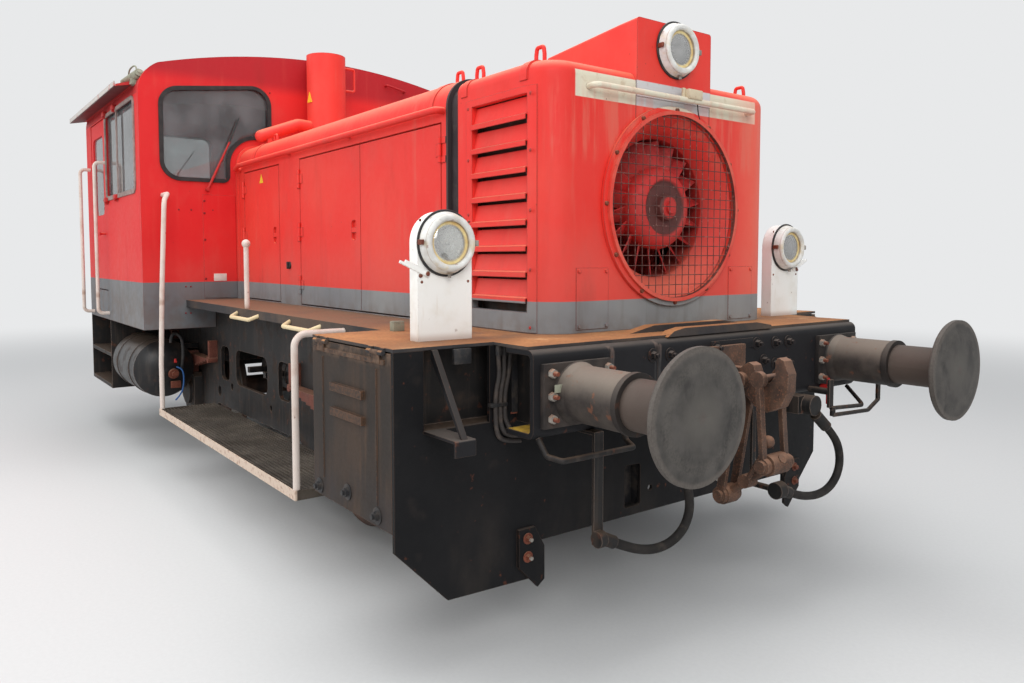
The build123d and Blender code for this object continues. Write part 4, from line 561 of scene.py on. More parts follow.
def grating_steel():
    """Galvanised grating gone grey-brown, with a pale painted edge."""
    f = Finish("grating_steel")
    fine = f.noise(0.02, 5.0)
    clouds = f.noise(0.2, 5.0)
    f.coat = f.mix(f.step(clouds, 0.35, 0.7), tone(62, 54, 46), tone(92, 83, 73))
    f.over(f.step(fine, 0.5, 0.7) * 0.5, tone(58, 43, 33))
    edge = f.step(abs(f.y), 1.436, 1.444)
    pale = f.mix(f.step(fine, 0.5, 0.75), tone(206, 186, 168), tone(150, 108, 84))
    f.over(edge, pale)
    return f.finish(0.6 + 0.2 * fine, f.rise(fine, 0.3, 0.002, 0.002), specular_ior_level=0.4)


def fan_paint():
    """Red fan, smoke-stained dark in a ring round its middle, with painted shade over the outer part of
    each blade.
    """
    f = Finish("fan_red")
    radius = f.radius(f.y, f.z - fan_z)
    fine = f.noise(0.02, 5.0)
    clouds = f.noise(0.12, 5.0)
    f.coat = f.mix(f.step(clouds, 0.3, 0.7), tone(206, 48, 46), tone(188, 60, 54))
    ring = f.between(radius, 0.056, 0.122, 0.014) * f.step(f.x, 2.70, 2.72)
    f.over(ring * 0.9, tone(72, 50, 46))
    # Painted shade, mottled, on the outer part of each blade, where the fan sits back in its mouth.
    blade_shade = f.step(radius, 0.19, 0.3)
    f.over(blade_shade * (0.35 + 0.4 * f.step(fine, 0.4, 0.7)), tone(112, 18, 20))
    return f.finish(0.5 + 0.25 * fine, f.rise(fine, 0.15, 0.002, 0.006), specular_ior_level=0.4)


def guard_paint():
    """Fan guard: red ring like the hood, brown wires with traces of paint."""
    f = Finish("guard_wire")
    radius = f.radius(f.y, f.z - fan_z)
    clouds = f.noise(0.12, 5.0)
    fine = f.noise(0.02, 5.0)
    ring = f.mix(f.step(clouds, 0.3, 0.7), tone(214, 62, 50), tone(216, 96, 78))
    ring = f.mix(f.step(fine, 0.55, 0.72) * 0.4, ring, tone(150, 60, 48))
    wires = f.mix(f.step(clouds, 0.35, 0.7), tone(66, 42, 38), tone(104, 66, 58))
    wires = f.mix(f.step(fine, 0.56, 0.66) * 0.6, wires, tone(168, 128, 118))
    f.coat = f.mix(f.step(radius, 0.4195, 0.4215), wires, ring)
    return f.finish(0.5 + 0.25 * fine, f.rise(fine, 0.15, 0.002, 0.001), specular_ior_level=0.4)


def lamp_rim_paint():
    """Lamp bodies and rims: greyed white, yellow stains on the rim, brown wash on the body."""
    f = Finish("lamp_rim")
    clouds = f.noise(0.05, 6.0)
    fine = f.noise(0.01, 5.0)
    ahead = abs(f.node("SeparateXYZ", {}, {0: f.facing}).part("X"))
    f.coat = f.mix(f.step(clouds, 0.35, 0.7), tone(226, 225, 220), tone(200, 198, 192))
    f.over(f.blotches(0.06, 0.5, 0.7, shift=5.0) * 0.55, tone(198, 176, 124))
    body = f.step(ahead, 0.30, 0.10) * (0.5 + 0.5 * f.step(clouds, 0.3, 0.6))
    f.over(body * 0.8, tone(142, 116, 90))
    bare = f.blotches(0.03, 0.63, 0.70, detail=7.0, shift=8.0)
    f.over(bare * 0.6, f.mix(fine, rust_dark, rust_light))
    return f.finish(0.30 + 0.3 * clouds, f.rise(fine * 0.3 + clouds, 0.12, 0.002, 0.002),
                    specular_ior_level=0.6)


def lens_glass():
    """Frosted lamp lens: clear and glossy under a milky film that thickens in cloudy patches."""
    f = Finish("lamp_lens")
    through = f.node("BsdfTransparent", {}, {"Color": (0.97, 0.98, 0.98, 1)})
    mirror = f.node("BsdfGlossy", {}, {"Color": (1, 1, 1, 1), "Roughness": 0.08})
    milk = f.node("BsdfDiffuse", {}, {"Color": tone(226, 224, 220)})
    clean = f.node("MixShader", {}, {0: 0.22, 1: through, 2: mirror})
    cloudy = 0.14 + 0.14 * f.blotches(0.05, 0.3, 0.7, detail=3.0)
    f.close(f.node("MixShader", {}, {0: cloudy, 1: clean, 2: milk}))
    return f.material


def seat_cloth():
    """Dark woven cloth."""
    f = Finish("seat_cloth")
    weave = f.node("TexWave", {"bands_direction": "DIAGONAL"},
                   {"Vector": f.place, "Scale": 180.0, "Distortion": 1.0})
    clouds = f.noise(0.08, 4.0)
    f.coat = f.mix(f.step(clouds, 0.3, 0.7), tone(34, 35, 38), tone(52, 52, 55))
    return f.finish(0.85, f.rise(weave, 0.3, 0.001), sheen_weight=0.3)


def window_frame_paint():
    """Black rubber round the panes, and the pale metal frames of the cab's side windows."""
    f = Finish("window_frame")
    clouds = f.noise(0.06, 6.0)
    fine = f.noise(0.012, 5.0)
    black = f.mix(f.step(clouds, 0.35, 0.7), tone(34, 33, 34), tone(52, 49, 48))
    pale = f.mix(f.step(clouds, 0.35, 0.7), tone(156, 138, 132), tone(128, 106, 100))
    pale = f.mix(f.step(fine, 0.52, 0.7) * 0.6, pale, tone(106, 70, 62))
    side = f.step(abs(f.y), 1.483, 1.486)
    f.coat = f.mix(side, black, pale)
    return f.finish(0.55 + 0.2 * fine, f.rise(fine, 0.2, 0.0015, 0.002), specular_ior_level=0.35)


def plain_paint(name, colour, worn, share=0.5, gloss=0.45):
    """Small painted fitting whose colour has worn off in places."""
    f = Finish(name)
    clouds = f.noise(0.04, 6.0)
    fine = f.noise(0.008, 4.0)
    f.coat = f.mix(f.step(clouds, 0.45, 0.7) * share, colour, worn)
    f.over(f.step(f.rim(0.002) + fine * 0.5, 0.7, 1.1) * share, worn)
    return f.finish(gloss + 0.25 * fine, f.rise(fine + clouds * 0.5, 0.2, 0.0015, 0.001),
                    specular_ior_level=0.4)


def lamp_inner():
    """Lamp rim's inside: cream, with yellow-brown stains."""
    f = Finish("lamp_cream")
    clouds = f.noise(0.05, 5.0)
    f.coat = f.mix(f.step(clouds, 0.35, 0.7), tone(238, 220, 160), tone(214, 178, 112))
    return f.finish(0.4 + 0.2 * clouds, f.rise(clouds, 0.1, 0.001), specular_ior_level=0.5)


finishes = {
    "hood_red": red_paint("hood_paint", tone(224, 44, 36), tone(226, 70, 56), 0.5, "hood"),
    "cab_red": red_paint("cab_paint", tone(212, 18, 22), tone(218, 38, 34), 0.2, "cab"),
    "roof_red": red_paint("roof_paint", tone(176, 22, 26), tone(192, 46, 40), 0.3, "roof"),
    "frame_black": black_paint("frame_black", tone(15, 13, 13), tone(32, 27, 25), 0.3, 0.35, 0.55),
    "beam_grey": beam_paint(),
    "tank_black": black_paint("tank_black", tone(17, 17, 19), tone(30, 29, 30), 0.25, 0.1, 0.3),
    "engine_grey": black_paint("engine_grey", tone(80, 84, 84), tone(96, 98, 96), 0.5, 0.2, 0.5),
    "desk_grey": black_paint("desk_grey", tone(112, 120, 116), tone(126, 134, 130), 0.1, 0.0, 0.5),
    "floor_grey": black_paint("floor_grey", tone(84, 82, 80), tone(100, 98, 94), 0.3, 0.1, 0.7),
    "core_grey": black_paint("core_grey", tone(60, 54, 51), tone(78, 68, 62), 0.5, 0.1, 0.7),
    "spring_steel": rusty_steel("spring_steel", tone(92, 50, 42), tone(122, 68, 54), 0.25),
    "coupling_rust": rusty_steel("coupling_rust", tone(62, 46, 38), tone(104, 76, 60), 0.5),
    "buffer_brown": buffer_case_paint(),
    "guard_wire": guard_paint(),
    "wheel_steel": wheel_steel(),
    "buffer_grey": buffer_face_steel(),
    "deck_rust": deck_paint(),
    "box_brown": box_door_paint(),
    "grating_steel": grating_steel(),
    "hose_rubber": rubber("hose_rubber", tone(24, 21, 20), tone(42, 38, 35)),
    "gaiter_rubber": rubber("gaiter_rubber", tone(44, 36, 38), tone(62, 52, 53)),
    "window_rubber": window_frame_paint(),
    "white_paint": white_paint("white_paint", tone(244, 243, 238), tone(228, 222, 210)),
    "cream_paint": plain_paint("cream_paint", tone(206, 190, 162), tone(158, 122, 92), 0.6),
    "lamp_rim": lamp_rim_paint(),
    "lamp_glass": glass("lamp_glass", (0.97, 0.98, 0.98, 1), tone(200, 200, 196), 0.04),
    "window_glass": glass("window_glass", (0.74, 0.76, 0.76, 1), tone(168, 170, 172), 0.28),
    "fan_red": fan_paint(),
    "seat_black": seat_cloth(),
}
lamp_mirror = mirror_metal("lamp_mirror", tone(240, 238, 230), 0.2)
lamp_cream = lamp_inner()
lamp_lens = lens_glass()
bolt_steel = rusty_steel("bolt_steel", tone(128, 124, 118), tone(168, 160, 150), 0.3, 0.001)
bolt_rust = rusty_steel("bolt_rust", tone(92, 46, 34), tone(126, 66, 48), 0.1, 0.001)
black_fitting = plain_paint("black_fitting", tone(34, 34, 36), tone(84, 74, 66), 0.5)
dark_pipe = plain_paint("dark_pipe", tone(52, 47, 45), tone(92, 78, 68), 0.5, 0.5)
red_fitting = plain_paint("red_fitting", tone(186, 34, 32), tone(128, 52, 42), 0.5)
blue_fitting = plain_paint("blue_fitting", tone(44, 92, 152), tone(70, 76, 84), 0.4)
yellow_mark = plain_paint("yellow_mark", tone(232, 188, 44), tone(196, 120, 60), 0.4)
yellow_paint = plain_paint("yellow_paint", tone(208, 168, 64), tone(128, 92, 60), 0.6)
rail_paint = white_paint("rail_paint", tone(216, 202, 192), tone(190, 160, 142), 0.8)
handle_paint = white_paint("handle_paint", tone(220, 200, 160), tone(196, 160, 110), 0.6)
lichen_grey = plain_paint("lichen_grey", tone(146, 146, 128), tone(98, 92, 80), 0.7, 0.7)
cab_screw_red = plain_paint("screw_red", tone(132, 22, 26), tone(84, 34, 30))
hood_screw_red = plain_paint("screw_hood", tone(170, 48, 42), tone(110, 52, 42))
plate_pale = plain_paint("plate_pale", tone(214, 206, 198), tone(168, 150, 140), 0.3)
dial_pale = plain_paint("dial_pale", tone(208, 208, 200), tone(150, 150, 142), 0.2, 0.25)


def dress_nodes():
    """Gives each solid node the finish of its slot, and the rails and handles finishes of their own."""
    slots = {part["node"]: part["material_slot"] for part in frame["record"]["subparts"]}
    own = {"handrails": rail_paint, "door_rails": rail_paint, "walkway_handles": handle_paint}
    for name, node in nodes.items():
        node.data.materials.clear()
        node.data.materials.append(own.get(name, finishes[slots[name]]))


dress_nodes()


# Mesh tools

def add_piece(name, form, finish, sharp=35.0):
    """A finished piece of the chassis at the origin, with its place in its mesh."""
    mesh = bpy.data.meshes.new(name)
    bmesh.ops.remove_doubles(form, verts=form.verts, dist=1e-6)
    bmesh.ops.recalc_face_normals(form, faces=form.faces)
    form.to_mesh(mesh)
    form.free()
    mesh.polygons.foreach_set("use_smooth", [True] * len(mesh.polygons))
    mesh.set_sharp_from_angle(angle=radians(sharp))
    mesh.materials.append(finish)
    made = bpy.data.objects.new(name, mesh)
    bpy.context.scene.collection.objects.link(made)
    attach(made, "chassis")
    return made


def turn_to(axis):
    """Rotation that points +Z along an axis."""
    return Vector(axis).to_track_quat("Z", "Y").to_matrix().to_4x4()


def add_disc(form, place, axis, radius, height, sides=24, top_radius=None):
    """Cylinder or cone that starts at place and grows along axis."""
    top = radius if top_radius is None else top_radius
    matrix = Matrix.Translation(place) @ turn_to(axis) @ Matrix.Translation((0, 0, height / 2))
    bmesh.ops.create_cone(form, cap_ends=True, segments=sides, radius1=radius, radius2=top,
                          depth=height, matrix=matrix)


def add_bolt(form, place, axis, across, head=None, washer=True, stud=0.0):
    """Hexagon head on a round washer, with a stud end if it has one."""
    height = across * 0.6 if head is None else head
    base = Vector(place)
    along = Vector(axis).normalized()
    if washer:
        add_disc(form, base, axis, across * 0.95, across * 0.14, 18)
        base = base + along * across * 0.14
    add_disc(form, base, axis, across * 0.577, height, 6, across * 0.54)
    if stud:
        add_disc(form, base + along * height, axis, across * 0.30, stud, 12)


def add_slab(form, first, second, bevel=0.0):
    """Box between two opposite corners, with softened edges if it has a bevel."""
    low = Vector(map(min, first, second))
    high = Vector(map(max, first, second))
    size = high - low
    matrix = Matrix.Translation((low + high) / 2) @ Matrix.Diagonal((*size, 1))
    made = bmesh.ops.create_cube(form, size=1.0, matrix=matrix)
    if bevel:
        edges = list({edge for vertex in made["verts"] for edge in vertex.link_edges})
        bmesh.ops.bevel(form, geom=edges, offset=bevel, segments=2, profile=0.5, affect="EDGES",
                        material=-1)


def add_lathe(form, outline, place, axis, steps=48):
    """Outline of (radius, height) points spun about an axis through place."""
    matrix = Matrix.Translation(place) @ turn_to(axis)
    ring = [form.verts.new(matrix @ Vector((radius, 0, height))) for radius, height in outline]
    edges = [form.edges.new(pair) for pair in zip(ring, ring[1:])]
    spin_axis = matrix.to_3x3() @ Vector((0, 0, 1))
    bmesh.ops.spin(form, geom=ring + edges, cent=place, axis=spin_axis, angle=2 * pi, steps=steps,
                   use_merge=True)


def add_plate(form, corners, rise):
    """Plate whose outline is its corners, as thick as rise moves them."""
    face = form.faces.new([form.verts.new(corner) for corner in corners])
    grown = bmesh.ops.extrude_face_region(form, geom=[face])
    moved = [item for item in grown["geom"] if isinstance(item, bmesh.types.BMVert)]
    bmesh.ops.translate(form, verts=moved, vec=rise)


def settled(guide):
    """The mesh of an object as its modifiers or its curve leave it. The object itself goes."""
    mesh = bpy.data.meshes.new_from_object(guide.evaluated_get(bpy.context.evaluated_depsgraph_get()))
    bpy.data.objects.remove(guide)
    return mesh


def add_bar(name, points, radius, finish):
    """Round bar or pipe through points, its corners eased by a curve."""
    guide = make_tube(name + "_line", points, radius, 8, 3)
    guide.data.use_fill_caps = True
    bpy.context.view_layer.update()
    mesh = settled(guide)
    form = bmesh.new()
    form.from_mesh(mesh)
    bpy.data.meshes.remove(mesh)
    return add_piece(name, form, finish)


# Hoses

for hose, points, length, node in (
        (hose_near, hose_near_points, hose_length_near, "brake_hose_near"),
        (hose_far, hose_far_points, hose_length_far, "brake_hose_far")):
    hose.data.materials.append(finishes["hose_rubber"])
    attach(hose, "chassis")
    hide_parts(node)


# Lamps: mirror bowl, bulb, lens, clip and gasket

# An outline's points are a radius and a depth in front of the mounting face.
bowl_outline = [(0.0005, 0.0115), (0.018, 0.012), (0.040, 0.0142), (0.060, 0.0178), (0.0795, 0.0230)]
bulb_outline = [(0.0004, 0.0225), (0.007, 0.0215), (0.010, 0.018), (0.009, 0.012)]
cream_outline = [(0.0835, 0.0305), (0.0700, 0.0305), (0.0690, 0.0312), (0.0700, 0.0320), (0.0835, 0.0325)]
gasket_outline = [(0.1215, 0.0005), (0.129, 0.001), (0.131, 0.005), (0.129, 0.009), (0.1215, 0.010)]
lens_outline = [(0.0005, 0.0440), (0.020, 0.0436), (0.040, 0.0420), (0.056, 0.0390), (0.068, 0.0350),
                (0.0745, 0.0315)]


def lamp_places():
    """Middle of each lamp's mounting face, the way it faces, and its side if it stands on a pillar."""
    pillar_face_x = 2.892
    lamp_box_face_x = 3.005
    cab_back_x = -3.010
    return [
        ((pillar_face_x, -1.184, 1.628), 1, -1),
        ((pillar_face_x, 1.052, 1.628), 1, 1),
        ((lamp_box_face_x, 0.0, 2.523), 1, 0),
        ((cab_back_x, -1.150, 1.640), -1, 0),
        ((cab_back_x, 1.150, 1.640), -1, 0),
        ((cab_back_x, 0.0, 2.930), -1, 0),
    ]


def make_lamps():
    """Bowls, bulbs, lenses, cream rings, gaskets and clips, inside and round the lamps' solid rims."""
    bowls, creams, gaskets, steels, rusts, lenses = (bmesh.new() for _ in range(6))
    turned = ((bowls, bowl_outline, 48), (bowls, bulb_outline, 24), (creams, cream_outline, 48),
              (gaskets, gasket_outline, 48), (lenses, lens_outline, 48))
    for place, facing, side in lamp_places():
        axis = (facing, 0, 0)

        def at(depth, out_y, up):
            return Vector(place) + Vector((depth * facing, out_y, up))

        for form, outline, steps in turned:
            add_lathe(form, outline, place, axis, steps)
        add_slab(rusts, at(0.010, -0.131, -0.008), at(0.040, -0.118, 0.012), 0.002)
        add_slab(steels, at(0.022, 0.112, -0.012), at(0.050, 0.126, 0.012), 0.003)
        add_bolt(steels, at(0.030, 0.0, -0.121), (0, 0, -1), 0.013, 0.012)
        if side:
            add_disc(rusts, at(0.0155, side * 0.088, -0.118), axis, 0.0095, 0.004, 16, 0.006)
            add_disc(rusts, at(0.0, side * 0.112, -0.126), axis, 0.008, 0.008, 16, 0.006)
            for out_y, up in ((-0.106, -0.150), (0.106, -0.150), (-0.112, 0.086), (0.112, 0.086)):
                add_disc(rusts, at(0.0, out_y, up), axis, 0.006, 0.0025, 12, 0.004)
    add_piece("lamp_lenses", lenses, lamp_lens, 60)
    add_piece("lamp_bowls", bowls, lamp_mirror, 60)
    add_piece("lamp_inner_rings", creams, lamp_cream)
    add_piece("lamp_gaskets", gaskets, black_fitting)
    add_piece("lamp_clips", steels, bolt_steel)
    add_piece("lamp_rusty_clips", rusts, bolt_rust)


make_lamps()


# End beams

def make_buffer_nuts():
    """Nuts with rusty stud ends on the buffer plates."""
    nuts = bmesh.new()
    studs = bmesh.new()
    plate_x = beam_face_x + 0.022
    nut_height = 0.018
    for end in both_ends:
        axis = (end, 0, 0)
        for side in both_sides:
            for across in (-0.150, 0.130):
                for up in (-0.083, 0.0, 0.085):
                    y, z = side * (buffer_y + across), buffer_z + up
                    add_bolt(nuts, (end * plate_x, y, z), axis, 0.031, nut_height, False)
                    add_disc(studs, (end * (plate_x + nut_height), y, z), axis, 0.0095, 0.020, 12, 0.008)
    add_piece("buffer_plate_nuts", nuts, bolt_steel)
    add_piece("buffer_plate_studs", studs, bolt_rust)


def make_beam_bolts():
    """Dark bolts, a cover plate and two weld lines on each end beam."""
    dark = bmesh.new()
    places = [(-0.453, 1.175), (-0.350, 1.171), (0.233, 1.179), (0.374, 1.175), (0.477, 1.173),
              (0.288, 1.097), (0.377, 1.075), (0.475, 1.075), (-0.054, 1.177)]
    weld_half = 0.0015
    for end in both_ends:
        for y, z in places:
            add_bolt(dark, (end * beam_face_x, y * end, z), (end, 0, 0), 0.030, 0.020, True, 0.012)
        back_x = end * (beam_face_x - 0.001)
        add_slab(dark, (back_x, -0.088, 1.166), (end * (beam_face_x + 0.004), 0.207, 1.208), 0.0015)
        for y in (-0.422, -0.691):
            add_slab(dark, (back_x, y * end - weld_half, 0.945),
                     (end * (beam_face_x + 0.0012), y * end + weld_half, 1.205))
    add_piece("end_beam_bolts", dark, finishes["beam_grey"])


make_buffer_nuts()
make_beam_bolts()


# Hood front

def make_fan_fittings():
    """Bolts of the fan ring, and the thin cable over the opening."""
    bolts = bmesh.new()
    bolt_circle = 0.444
    for number in range(12):
        angle = radians(90 + 30 * number)
        place = (3.016, bolt_circle * cos(angle), fan_z + bolt_circle * sin(angle))
        add_disc(bolts, place, (1, 0, 0), 0.011, 0.012, 12, 0.008)
    add_piece("fan_ring_bolts", bolts, bolt_rust)
    cable = [(3.030, 0.128, 2.300), (3.022, 0.142, 2.262), (3.018, 0.156, 2.235), (3.016, 0.170, 2.208)]
    add_bar("fan_cable", cable, 0.0028, dark_pipe)


def make_band_fittings():
    """Seams of the middle panel, and the clamp block on the grab rail."""
    seams = bmesh.new()
    for side in both_sides:
        add_slab(seams, (hood_front_x - 0.0005, side * 0.2490, 2.150),
                 (hood_front_x + 0.0010, side * 0.2512, 2.360))
    add_piece("hood_front_seams", seams, dark_pipe)
    block = bmesh.new()
    add_slab(block, (3.044, 0.020, 2.300), (3.072, 0.118, 2.345), 0.004)
    add_slab(block, (3.040, 0.004, 2.296), (3.050, 0.024, 2.350), 0.002)
    add_piece("grab_block", block, finishes["cream_paint"])


make_fan_fittings()
make_band_fittings()


# Aprons, beams and the near front corner

conduit_x = 3.068
conduit_start_y = -1.055
conduit_pitch = 0.029


def make_conduits():
    """Three thin pipes that run down the near apron and turn in under the beam."""
    for number in range(3):
        start_y = conduit_start_y + conduit_pitch * number
        shift = 0.022 * number
        lift = 0.020 * number
        route = [(start_y, 1.232), (start_y - 0.003, 1.190), (shift - 1.050, 1.120), (shift - 1.070, 1.050),
                 (shift - 1.070, 0.960), (shift - 1.066, 0.900 + lift), (shift - 1.048, 0.868 + lift),
                 (-0.990, 0.853 + lift), (-0.950, 0.850 + lift)]
        points = [(conduit_x, y, z) for y, z in route]
        add_bar(f"conduit_{number + 1}", points, 0.0095, dark_pipe)


def make_apron_plates():
    """Small plates on the near apron, and the bolts of the aprons and the side boxes."""
    black = bmesh.new()
    rust = bmesh.new()
    steel = bmesh.new()
    face = 3.056
    add_slab(black, (face + 0.001, -1.100, 0.998), (face + 0.026, -1.020, 1.012), 0.002)
    add_slab(black, (face, -0.985, 0.964), (face + 0.004, -0.877, 1.214), 0.001)
    add_slab(black, (face, -1.261, 1.176), (face + 0.019, -1.185, 1.234), 0.003)
    add_slab(rust, (face - 0.001, -0.989, 0.958), (face + 0.0025, -0.873, 0.966), 0.001)
    for z in (0.447, 0.372):
        for side in both_sides:
            add_bolt(rust, (face + 0.014, side * 0.913, z), (1, 0, 0), 0.024, 0.016)
        add_disc(steel, (face + 0.030, -0.913, z), (1, 0, 0), 0.008, 0.012, 12)
    for y, z in ((0.287, 0.493), (0.579, 0.518)):
        add_bolt(steel, (face, y, z), (1, 0, 0), 0.022, 0.014)
    box_side_y = 1.506
    for x, side, z in ((2.411, -1, 0.615), (2.678, -1, 0.650), (2.929, -1, 0.620), (2.411, 1, 0.615),
                       (2.678, 1, 0.650)):
        add_bolt(black, (x, side * box_side_y, z), (0, side, 0), 0.034, 0.014, True, 0.010)
    add_piece("front_plates", black, black_fitting)
    add_piece("front_rusty_bolts", rust, bolt_rust)
    add_piece("front_steel_bolts", steel, bolt_steel)


def make_yellow_marks():
    """Yellow paint on the ledges beside the buffers."""
    yellow = bmesh.new()
    for side in both_sides:
        add_slab(yellow, (3.150, side * 0.930, 0.9282), (3.282, side * 1.069, 0.9296))
    add_piece("beam_yellow_marks", yellow, yellow_paint)


def make_deck_treads():
    """Two low treads across the front of the deck, higher in the middle."""
    treads = bmesh.new()
    front_tread = [(-0.345, 1.240), (-0.306, 1.263), (-0.240, 1.274), (0.254, 1.274), (0.367, 1.257),
                   (0.376, 1.240)]
    back_tread = [(-0.431, 1.247), (-0.335, 1.266), (-0.276, 1.277), (0.204, 1.277), (0.299, 1.263),
                  (0.312, 1.247)]
    for back_x, front_x, outline in ((3.236, 3.289, front_tread), (3.092, 3.148, back_tread)):
        add_plate(treads, [(back_x, y, z) for y, z in outline], (front_x - back_x, 0, 0))
    add_piece("deck_treads", treads, finishes["deck_rust"])


def make_small_fittings():
    """Block on the deck, glands of the conduits, and the dark pocket behind the opening in the apron."""
    block = bmesh.new()
    add_slab(block, (2.405, -1.170, 1.247), (2.446, -1.116, 1.292), 0.004)
    add_piece("deck_block", block, lichen_grey)
    small = bmesh.new()
    for number in range(3):
        gland_y = conduit_start_y + conduit_pitch * number
        add_disc(small, (conduit_x, gland_y, 1.196), (0, 0, 1), 0.0135, 0.038, 6)
    back_x, front_x = 2.984, 3.040
    low_y, high_y = -0.368, -0.246
    low_z, high_z = 0.447, 0.660
    wall = 0.004
    add_slab(small, (back_x, low_y, low_z), (back_x + wall, high_y, high_z))
    for y in (low_y, high_y - wall):
        add_slab(small, (back_x, y, low_z), (front_x, y + wall, high_z))
    for z in (low_z, high_z - wall):
        add_slab(small, (back_x, low_y, z), (front_x, high_y, z + wall))
    add_piece("front_small_fittings", small, black_fitting)


def make_tag_and_handle():
    """Blank tag on the near buffer plate, and the red handle of the far brake cock."""
    tag = bmesh.new()
    add_slab(tag, (3.351, -1.012, 1.083), (3.3535, -0.972, 1.113), 0.0008)
    add_piece("buffer_tag", tag, lichen_grey)
    handle = bmesh.new()
    add_slab(handle, (3.338, 0.757, 0.845), (3.347, 0.785, 0.940), 0.003)
    add_slab(handle, (3.338, 0.762, 0.930), (3.347, 0.780, 0.975), 0.003)
    add_disc(handle, (3.304, 0.772, 0.928), (1, 0, 0), 0.014, 0.050, 20)
    add_piece("cock_handle", handle, red_fitting)


make_conduits()
make_apron_plates()
make_yellow_marks()
make_deck_treads()
make_small_fittings()
make_tag_and_handle()


# Near air tank

def make_tank_fittings():
    """Drain valve, cock, hose and thin pipe at the end of the near air tank."""
    cover = bmesh.new()
    add_disc(cover, (-1.120, -1.218, 0.650), (1, 0, 0), 0.042, 0.030, 24, 0.036)
    add_disc(cover, (-1.090, -1.218, 0.650), (1, 0, 0), 0.020, 0.022, 6)
    add_slab(cover, (-1.122, -1.240, 0.535), (-1.104, -1.165, 0.590), 0.003)
    add_piece("tank_valve", cover, bolt_rust)
    cock = bmesh.new()
    add_disc(cock, (-1.098, -1.205, 0.740), (0, 0, 1), 0.011, 0.030, 16, 0.009)
    add_disc(cock, (-1.112, -1.205, 0.746), (1, 0, 0), 0.008, 0.030, 12)
    add_piece("tank_cock", cock, red_fitting)
    hose = [(-1.100, -1.236, 0.900), (-1.095, -1.232, 0.962), (-1.090, -1.195, 0.976),
            (-1.086, -1.156, 0.935), (-1.086, -1.148, 0.860), (-1.092, -1.147, 0.760),
            (-1.112, -1.156, 0.690)]
    add_bar("tank_hose", hose, 0.013, black_fitting)
    pipe = [(-1.112, -1.192, 0.702), (-1.088, -1.184, 0.698), (-1.080, -1.160, 0.684),
            (-1.078, -1.149, 0.640), (-1.080, -1.150, 0.555), (-1.092, -1.170, 0.480),
            (-1.116, -1.206, 0.436)]
    add_bar("tank_pipe", pipe, 0.006, blue_fitting)


make_tank_fittings()


# Wipers, with the points of a far one: pivot, elbow, tip, and the blade's foot and top

front_wiper = [(-0.815, 1.006, 2.098), (-0.815, 0.833, 2.473), (-0.816, 0.815, 2.510),
               (-0.824, 0.874, 2.380), (-0.824, 0.753, 2.665)]
rear_wiper = [(-3.030, 0.700, 2.330), (-3.030, 0.640, 2.450), (-3.029, 0.625, 2.475),
              (-3.022, 0.664, 2.416), (-3.022, 0.511, 2.640)]


def make_wiper(name, points, facing, arm_finish):
    """Arm from a pivot on the wall, and the blade that it holds against the pane."""
    pivot, elbow, tip, low, high = points
    arm = bmesh.new()
    add_disc(arm, pivot - Vector((facing * 0.018, 0, 0)), (facing, 0, 0), 0.016, 0.030, 24, 0.013)
    add_disc(arm, pivot, elbow - pivot, 0.011, (elbow - pivot).length, 16, 0.0065)
    add_piece(name + "_arm", arm, arm_finish)
    blade = bmesh.new()
    add_disc(blade, elbow, tip - elbow, 0.005, (tip - elbow).length, 12, 0.004)
    add_disc(blade, low, high - low, 0.0055, (high - low).length, 8)
    middle = (low + high) / 2
    yoke = middle + Vector((facing * 0.008, 0, 0))
    for share in (0.15, 0.85):
        foot = low.lerp(high, share)
        add_disc(blade, foot, yoke - foot, 0.003, (yoke - foot).length, 8)
    add_disc(blade, middle, (facing, 0, 0), 0.009, 0.012, 16)
    add_piece(name + "_blade", blade, black_fitting)


for place, points, facing, arm_finish in (("front", front_wiper, 1, red_fitting),
                                          ("rear", rear_wiper, -1, black_fitting)):
    for side, label in both_sides.items():
        mirrored = [Vector((x, side * y, z)) for x, y, z in points]
        make_wiper(f"{place}_wiper_{label}", mirrored, facing, arm_finish)


# Cab

cab_front_x = -0.835


def make_cab_screws():
    """Hinge screws and plugged holes of the cab front."""
    screws = bmesh.new()
    hinge_heights = (2.009, 1.915, 1.710, 1.408)
    holes = [(1.180, 1.350), (1.144, 1.349), (1.185, 1.147), (1.148, 1.146), (1.218, 1.936),
             (1.127, 1.937), (0.967, 1.940), (0.497, 2.897)]
    for side in both_sides:
        for z in hinge_heights:
            add_disc(screws, (cab_front_x + 0.003, side * 1.030, z), (1, 0, 0), 0.009, 0.006, 12, 0.006)
        for y, z in holes:
            add_disc(screws, (cab_front_x, side * y, z), (1, 0, 0), 0.007, 0.004, 12, 0.005)
    add_piece("cab_screws", screws, cab_screw_red)


def make_cab_plate():
    """Blank plate on the near half of the cab front."""
    plate = bmesh.new()
    add_slab(plate, (cab_front_x + 0.0025, -0.970, 1.390), (cab_front_x + 0.0055, -0.872, 1.447), 0.001)
    add_piece("cab_blank_plate", plate, plate_pale)


def make_window_clips():
    """Red clips at the upper and lower edges of the side windows."""
    clips = bmesh.new()
    for side in both_sides:
        for x, z in ((-1.645, 2.070), (-2.040, 2.066), (-1.645, 2.792), (-2.040, 2.792)):
            add_slab(clips, (x - 0.040, side * 1.484, z - 0.020),
                     (x + 0.040, side * 1.516, z + 0.018), 0.006)
            add_disc(clips, (x, side * 1.490, z - 0.026), (0, side, 0), 0.014, 0.024, 16)
    add_piece("side_window_clips", clips, red_fitting)


